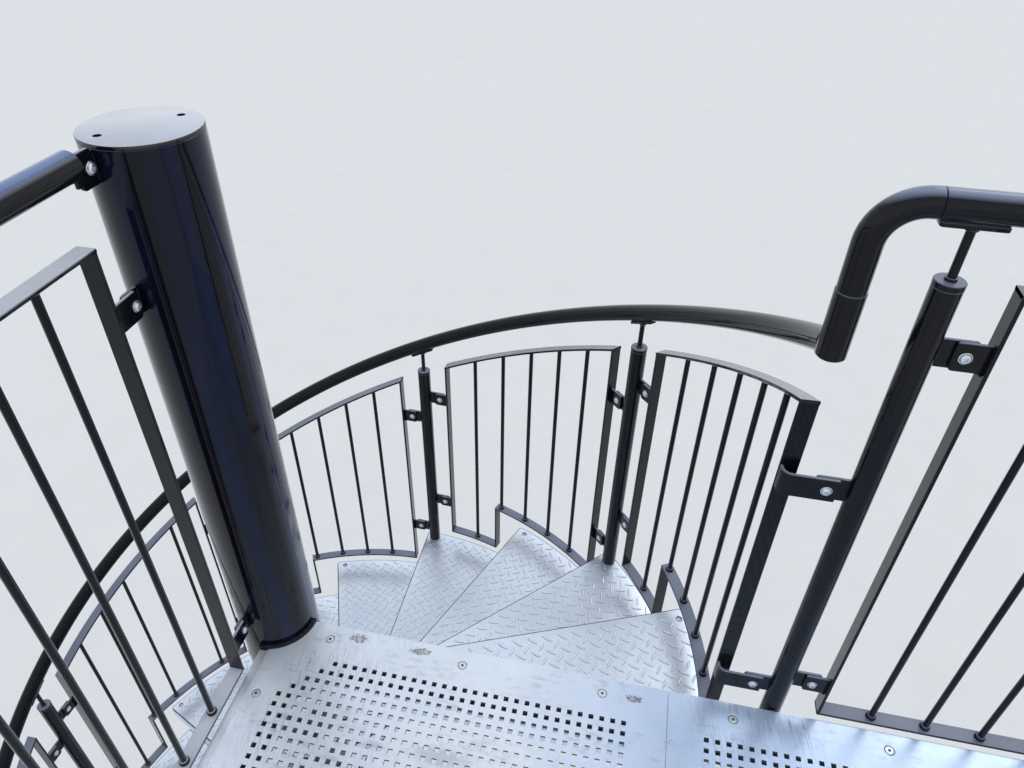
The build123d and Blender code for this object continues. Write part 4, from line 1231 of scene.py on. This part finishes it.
def set_treads():
    pan, outline = tread_steel()
    hole = around(-POST_LAG) @ Vector((RAIL_CIRCLE, 0, 0))
    # A thin dark ring on the tread's top round the post hole: painted shade round the hole.
    darkening = Steelwork()
    darkening.place, darkening.finish = Matrix.Translation(hole), 1
    hoop(darkening, ((0.0070, -0.0003), (0.0086, -0.0003), (0.0086, 0.0001), (0.0070, 0.0001)), 28)
    checker = Steelwork()
    for x, y, turn in lens_spots(outline, hole.x, hole.y):
        checker_lens(checker, x, y, turn)
    lenses = mesh_of("checker_lenses", checker, outward=False)
    # Low lens faces take painted blue-grey shade, the upper faces the paler crown: rubbed zinc with a painted
    # highlight.
    for side in lenses.polygons:
        side.material_index = 2 if side.center.z < 0.5 * LENS_HEIGHT else 3
    parts = (pan_of(pan, hole), lenses, mesh_of("post_hole_ring", darkening, outward=False))
    finishes = (ZINC_TREAD, ZINC_DARK_EDGE, ZINC_FLANK_SHADE, ZINC_CROWN_WEAR_AND_HIGHLIGHT)
    for count in range(1, RISERS):
        whole = bmesh.new()
        for part in parts:
            whole.from_mesh(part)
        bmesh.ops.transform(whole, matrix=around(nosing_angle(count), level(count)), verts=whole.verts)
        bmesh.ops.recalc_face_normals(whole, faces=whole.faces)
        mesh = bpy.data.meshes.new("tread")
        whole.to_mesh(mesh)
        whole.free()
        name = f"tread_{RISERS - count:02d}"
        piece("checker_" + name, mesh, finishes, [name])


# Posts and panels of the stair
def set_stair_posts():
    for count in range(2, RISERS + 1, 2):
        steel = Steelwork()
        steel.place = around(post_angle(count), level(count)) @ at(RAIL_CIRCLE, 0)
        stair_post(steel, count == RISERS)
        name = "post_foot" if count == RISERS else f"post_tread_{RISERS - count:02d}"
        made(f"stair_{name}", steel, BLACK, [name])


def set_stair_panels():
    for count in range(0, RISERS, 2):
        steel = Steelwork()
        steel.place = around(post_angle(count), level(count))
        stair_panel(steel, count == 0)
        number = (RISERS - count) // 2
        made(f"bar_panel_{number}", steel, BLACK, [f"stair_panel_{number}"])


# Handrail
END_EASES = {
    "joint": ((0.0009, 0.0), (0.0, 0.0009)),
    "free": ((0.006, -0.0012), (0.0014, 0.0), (0.0, 0.0016)),
}


def tube_run(steel, places, radius, near, far):
    """A tube along its places; a joint end is eased a little so that the seam shows, and a
    free end has a domed cap."""
    rings = []
    section = round_section(1.0, 36)

    def ring(place, size, shift):
        moved = place @ at(0, 0, shift)
        rings.append([moved @ Vector((u * size, v * size, 0)) for u, v in section])

    for ease, along in END_EASES[near]:
        ring(places[0], radius - ease, along)
    for place in places[1:-1]:
        ring(place, radius, 0)
    for ease, along in reversed(END_EASES[far]):
        ring(places[-1], radius - ease, -along)
    steel.skin(rings)


def bent_places(start, corner, end):
    """Places along a tube that turns square round its corner."""
    start, corner, end = Vector(start), Vector(corner), Vector(end)
    first, second = (corner - start).normalized(), (end - corner).normalized()
    side = first.cross(second)
    places = [facing(start, side, first)]
    centre = corner - first * RAIL_BEND + second * RAIL_BEND
    for step in range(13):
        t = radians(90 * step / 12)
        origin = centre - second * cos(t) * RAIL_BEND + first * sin(t) * RAIL_BEND
        places.append(facing(origin, side, first * cos(t) + second * sin(t)))
    places.append(facing(end, side, second))
    return places


def set_handrail():
    leg_x = sqrt(RAIL_CIRCLE**2 - RAIL_OUTSIDE**2)
    leg_end = rail_height(degrees(asin(RAIL_OUTSIDE / RAIL_CIRCLE))) - RAIL_RADIUS
    leg_top = leg_end + LEG_SHARE * (LANDING_RAIL - RAIL_BEND - leg_end)
    elbow_x = leg_x + ELBOW_REACH
    corner_y = RAIL_OUTSIDE - RAIL_BEND - CORNER_STUB

    def tube(name, node, places, near="joint", far="joint", sleeve=0.0, finish=PAINT_TUBE):
        steel = Steelwork()
        tube_run(steel, places, RAIL_RADIUS + sleeve, near, far)
        made(name, steel, (finish,), [node])

    def helix(start, end):
        return climbing_places(steps_between(start, end, 1.5), rail_height)

    def level_run(x, start_y, end_y):
        return [facing((x, y, LANDING_RAIL), (1, 0, 0), (0, -1, 0)) for y in (start_y, end_y)]

    def front_line(x, y=RAIL_OUTSIDE, z=LANDING_RAIL):
        return (x, y, z)

    upper, lower = helix(RAIL_HEAD_ANGLE, RAIL_JOINT_ANGLE), helix(RAIL_JOINT_ANGLE, RAIL_FOOT_ANGLE)
    tube("rail_tube_upper", "handrail_upper", upper, finish=PAINT_STAIR_RAIL)
    tube("rail_tube_lower", "handrail_lower", lower, far="free", finish=PAINT_STAIR_RAIL)
    leg = [facing(front_line(leg_x, z=z), (1, 0, 0), (0, 0, 1)) for z in (leg_end, leg_top)]
    tube("rail_leg", "handrail_drop", leg, near="free", sleeve=LEG_SLEEVE)
    elbow = bent_places(front_line(leg_x, z=leg_top), front_line(leg_x), front_line(elbow_x))
    tube("rail_elbow", "handrail_elbow", elbow)
    front = bent_places(front_line(elbow_x), front_line(RIGHT_LINE), front_line(RIGHT_LINE, corner_y))
    tube("rail_landing_front", "landing_handrail_front", front)
    right = level_run(RIGHT_LINE, corner_y, -LANDING_DEPTH)
    tube("rail_landing_right", "landing_handrail_right", right, far="free")
    steel = Steelwork()
    left = level_run(-RAIL_OUTSIDE, -LEFT_RAIL_START, -LANDING_DEPTH)
    tube_run(steel, left, RAIL_RADIUS, "free", "free")
    tab = rounded_plate(-0.130, NEWEL_LUG_END - NEWEL_BOLT, -0.021, 0.021, (0, 0.005, 0.005, 0))
    x, z = -RAIL_OUTSIDE + LUG_THICKNESS, FLOOR_LEVEL + NEWEL_RAIL_LUG + 0.009
    steel.plate(tab, at(x, 0, z) @ stand_across(), LUG_THICKNESS)
    bolt(steel, at(x, -NEWEL_BOLT, z - 0.004) @ turned(90, "Y"), 2 * LUG_THICKNESS)
    made("rail_landing_left", steel, (PAINT_LEFT_RAIL, ZINC_BOLT), ["landing_handrail_left"])


# Landing
HOLE_SIZE = 0.0098
HOLE_PITCH = 0.0219
FIRST_ROW = -0.0932
HOLE_ROWS = 42
HOLE_COLUMNS = 33
FIELD_STARTS = (0.0866, 0.9505)
SCREW_PITCH = 0.2995
SCREW_STARTS = (0.1396, 1.0036)
SCREW_ROWS = (-0.0378, -1.040)
SIDE_SCREW_START = -0.189
SIDE_SCREW_EDGE = 0.0404


def deck_plate(left, right, field_start, corner_rows):
    """A plate with square punched holes; the field's corner by the newel is cut off in steps."""
    steel = Steelwork()
    xs = [left]
    for column in range(HOLE_COLUMNS):
        middle = field_start + column * HOLE_PITCH
        xs += [middle - HOLE_SIZE / 2, middle + HOLE_SIZE / 2]
    xs.append(right)
    ys = [DECK_FRONT]
    for row in range(HOLE_ROWS):
        middle = FIRST_ROW - row * HOLE_PITCH
        ys += [middle + HOLE_SIZE / 2, middle - HOLE_SIZE / 2]
    ys.append(-LANDING_DEPTH)

    def solid(i, j):
        if not (0 <= i < len(xs) - 1 and 0 <= j < len(ys) - 1):
            return False
        if i % 2 == 0 or j % 2 == 0:
            return True
        return (i - 1) // 2 + (j - 1) // 2 < corner_rows

    for z in (FLOOR_LEVEL, FLOOR_LEVEL - DECK_THICKNESS):
        steel.points += [Vector((x, y, z)) for y in ys for x in xs]

    def corner(i, j, low):
        return (low * len(ys) + j) * len(xs) + i

    for j in range(len(ys) - 1):
        for i in range(len(xs) - 1):
            if not solid(i, j):
                continue
            a, b, c, d = (i, j), (i + 1, j), (i + 1, j + 1), (i, j + 1)
            steel.face([corner(*p, 0) for p in (d, c, b, a)])
            steel.face([corner(*p, 1) for p in (a, b, c, d)])
            edges = ((a, b, (i, j - 1)), (b, c, (i + 1, j)), (c, d, (i, j + 1)), (d, a, (i - 1, j)))
            for p, q, beyond in edges:
                if not solid(*beyond):
                    steel.face((corner(*p, 0), corner(*q, 0), corner(*q, 1), corner(*p, 1)))
    return steel


def screw_places():
    along = [start + SCREW_PITCH * i for start in SCREW_STARTS for i in range(3)]
    back = [SIDE_SCREW_START - SCREW_PITCH * i for i in range(3)]
    sides = (SIDE_SCREW_EDGE, LANDING_WIDTH - SIDE_SCREW_EDGE)
    return [(x, y) for y in SCREW_ROWS for x in along] + [(x, y) for x in sides for y in back]


def set_deck():
    seats = {"landing_deck_left": Steelwork(), "landing_deck_right": Steelwork()}
    screws = Steelwork()
    head = ((0.0084, -0.0030), (0.0084, -0.0012), (0.0078, -0.0006), (0.0040, -0.0003), (0.0030, -0.0004))
    dark_ring = ((0.0087, -0.0024), (0.0098, -0.0015), (0.0098, -0.0011), (0.0087, -0.0016))
    socket_rim = ((0.0026, -0.0016), (0.0026, -0.00028), (0.0022, -0.0016))
    socket = ((0.0024, -0.0012), (0.0024, -0.00034), (0.0001, -0.00036))
    for x, y in screw_places():
        place = at(x, y, FLOOR_LEVEL)
        node = "landing_deck_left" if x < DECK_JOINT else "landing_deck_right"
        seats[node].spun(((0.0085, -0.0022), (0.0092, -0.0016), (0.0114, 0.0004)), place, 24)
        screws.spun(head + ((0.0026, -0.0022), (0.0001, -0.0026)), place, 24)
        # The ring in each seat round the head is darker, and the socket's rim and floor take painted shade.
        screws.place, screws.finish = place, 1
        hoop(screws, dark_ring, 24)
        hoop(screws, socket_rim, 12)
        screws.spun(socket, None, 12)
        screws.place, screws.finish = Matrix(), 0
    cuff = Steelwork()
    cuff_room = CUFF_RADIUS + SLIP
    cuff.spun(((cuff_room, FLOOR_LEVEL - 0.02), (cuff_room, FLOOR_LEVEL + 0.02)), None, 96)
    sheets = (
        ("landing_deck_left", DECK_SIDE, DECK_JOINT - DECK_GAP, FIELD_STARTS[0], 4, (cuff,)),
        ("landing_deck_right", DECK_JOINT + DECK_GAP, LANDING_WIDTH - DECK_SIDE, FIELD_STARTS[1], 0, ()),
    )
    for node, left, right, field, corner_rows, more in sheets:
        name = node.replace("landing_deck", "punched_plate")
        steel = deck_plate(left, right, field, corner_rows)
        cutters = (seats[node], *more)
        plate = made(name, steel, (ZINC_DECK, ZINC_DARK_EDGE), [node], cutters)
        # The walls of the punched holes take the dark finish as painted shade.
        for side in plate.data.polygons:
            x, y, _ = side.center
            within = left + 0.004 < x < right - 0.004 and 0.004 - LANDING_DEPTH < y < -0.008
            side.material_index = 1 if within and abs(side.normal.z) < 0.3 else 0
    made("deck_screws", screws, (ZINC_SCREW, ZINC_DARK_EDGE), ())


def set_cuff():
    steel = Steelwork()
    low, high = FLOOR_LEVEL - CUFF_DROP, FLOOR_LEVEL + CUFF_RISE
    e = 0.0022
    section = [
        (COLLAR_BORE, low), (CUFF_RADIUS, low), (CUFF_RADIUS, high - e),
        (CUFF_RADIUS - e * 0.3, high - e * 0.3), (CUFF_RADIUS - e, high),
        (COLLAR_BORE + 0.001, high), (COLLAR_BORE, high - 0.001),
    ]
    quarter = arc(0, 0, 1.0, steps_between(-90, 0, 3))
    steel.skin([[(r * cosine, r * sine, z) for r, z in section] for cosine, sine in quarter])
    made("newel_cuff", steel, (PAINT_CUFF,), ["landing_cuff"])


def set_landing_balustrade():
    bolt_out = LANDING_FLAT - LANDING_BOLT
    post_end = (bolt_out + LUG_END, bolt_out, LANDING_LUGS)
    newel_bolt_out = LEFT_PANEL_START - NEWEL_BOLT
    newel_end = (newel_bolt_out + NEWEL_LUG_END, newel_bolt_out, NEWEL_LUGS)
    panels = (
        ("front", at(STAIR_POST_X + LANDING_FLAT, RAIL_OUTSIDE, FLOOR_LEVEL),
         RIGHT_LINE - STAIR_POST_X - 2 * LANDING_FLAT, -1, post_end, PAINT_FLAT),
        ("right", at(RIGHT_LINE, RAIL_OUTSIDE - LANDING_FLAT, FLOOR_LEVEL) @ turned(-90, "Z"),
         RAIL_OUTSIDE - WALL_POST_Y - 2 * LANDING_FLAT, -1, post_end, PAINT_FLAT),
        ("left", at(-RAIL_OUTSIDE, -LEFT_PANEL_START, FLOOR_LEVEL) @ turned(-90, "Z"),
         -LEFT_PANEL_START - WALL_POST_Y - LANDING_FLAT, 1, newel_end, PAINT_LEFT_FLAT),
    )
    for side, place, length, lug_side, start, paint in panels:
        steel = Steelwork()
        steel.place = place
        landing_panel(steel, length, lug_side, start, post_end)
        made(f"landing_bars_{side}", steel, (paint, ZINC_BOLT), [f"landing_panel_{side}"])
    both = (-0.030, 0.030)
    posts = (
        ("post_landing_stair", STAIR_POST_X, RAIL_OUTSIDE,
         ((0, LANDING_LUGS, True), (180, UPPER_END_LUGS, False)), ((0, both),), 0),
        ("post_landing_corner", RIGHT_LINE, RAIL_OUTSIDE,
         ((180, LANDING_LUGS, False), (-90, LANDING_LUGS, True)), ((0, (-0.060, 0)), (-90, (0, 0.060))), -45),
        ("post_wall_right", RIGHT_LINE, WALL_POST_Y, ((90, LANDING_LUGS, False),), ((-90, both),), 90),
        ("post_wall_left", -RAIL_OUTSIDE, WALL_POST_Y, ((90, LANDING_LUGS, True),), ((90, both),), 90),
    )
    for node, x, y, lugs, cleats, saddle in posts:
        steel = Steelwork()
        steel.place = at(x, y, FLOOR_LEVEL)
        landing_post(steel, lugs, cleats, saddle)
        made(node.replace("post_", "standard_"), steel, BLACK, [node])


def dress_solids():
    """The solids that stay in view take the same finishes."""
    for name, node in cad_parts.items():
        if name.startswith("landing_beam"):
            finish = ZINC_FRAME
        elif name.startswith(("tread", "landing_deck")):
            finish = ZINC_TREAD
        elif name.startswith("newel"):
            finish = PAINT_NEWEL
        else:
            finish = PAINT_FLAT
        for slot in node.material_slots:
            slot.material = finish


bpy.context.scene.view_settings.view_transform = "Standard"
dress_solids()
set_camera()
set_light()
set_floor()
set_newel()
anchor_bolts()
set_treads()
set_stair_posts()
set_stair_panels()
set_handrail()
set_deck()
set_cuff()
set_landing_balustrade()
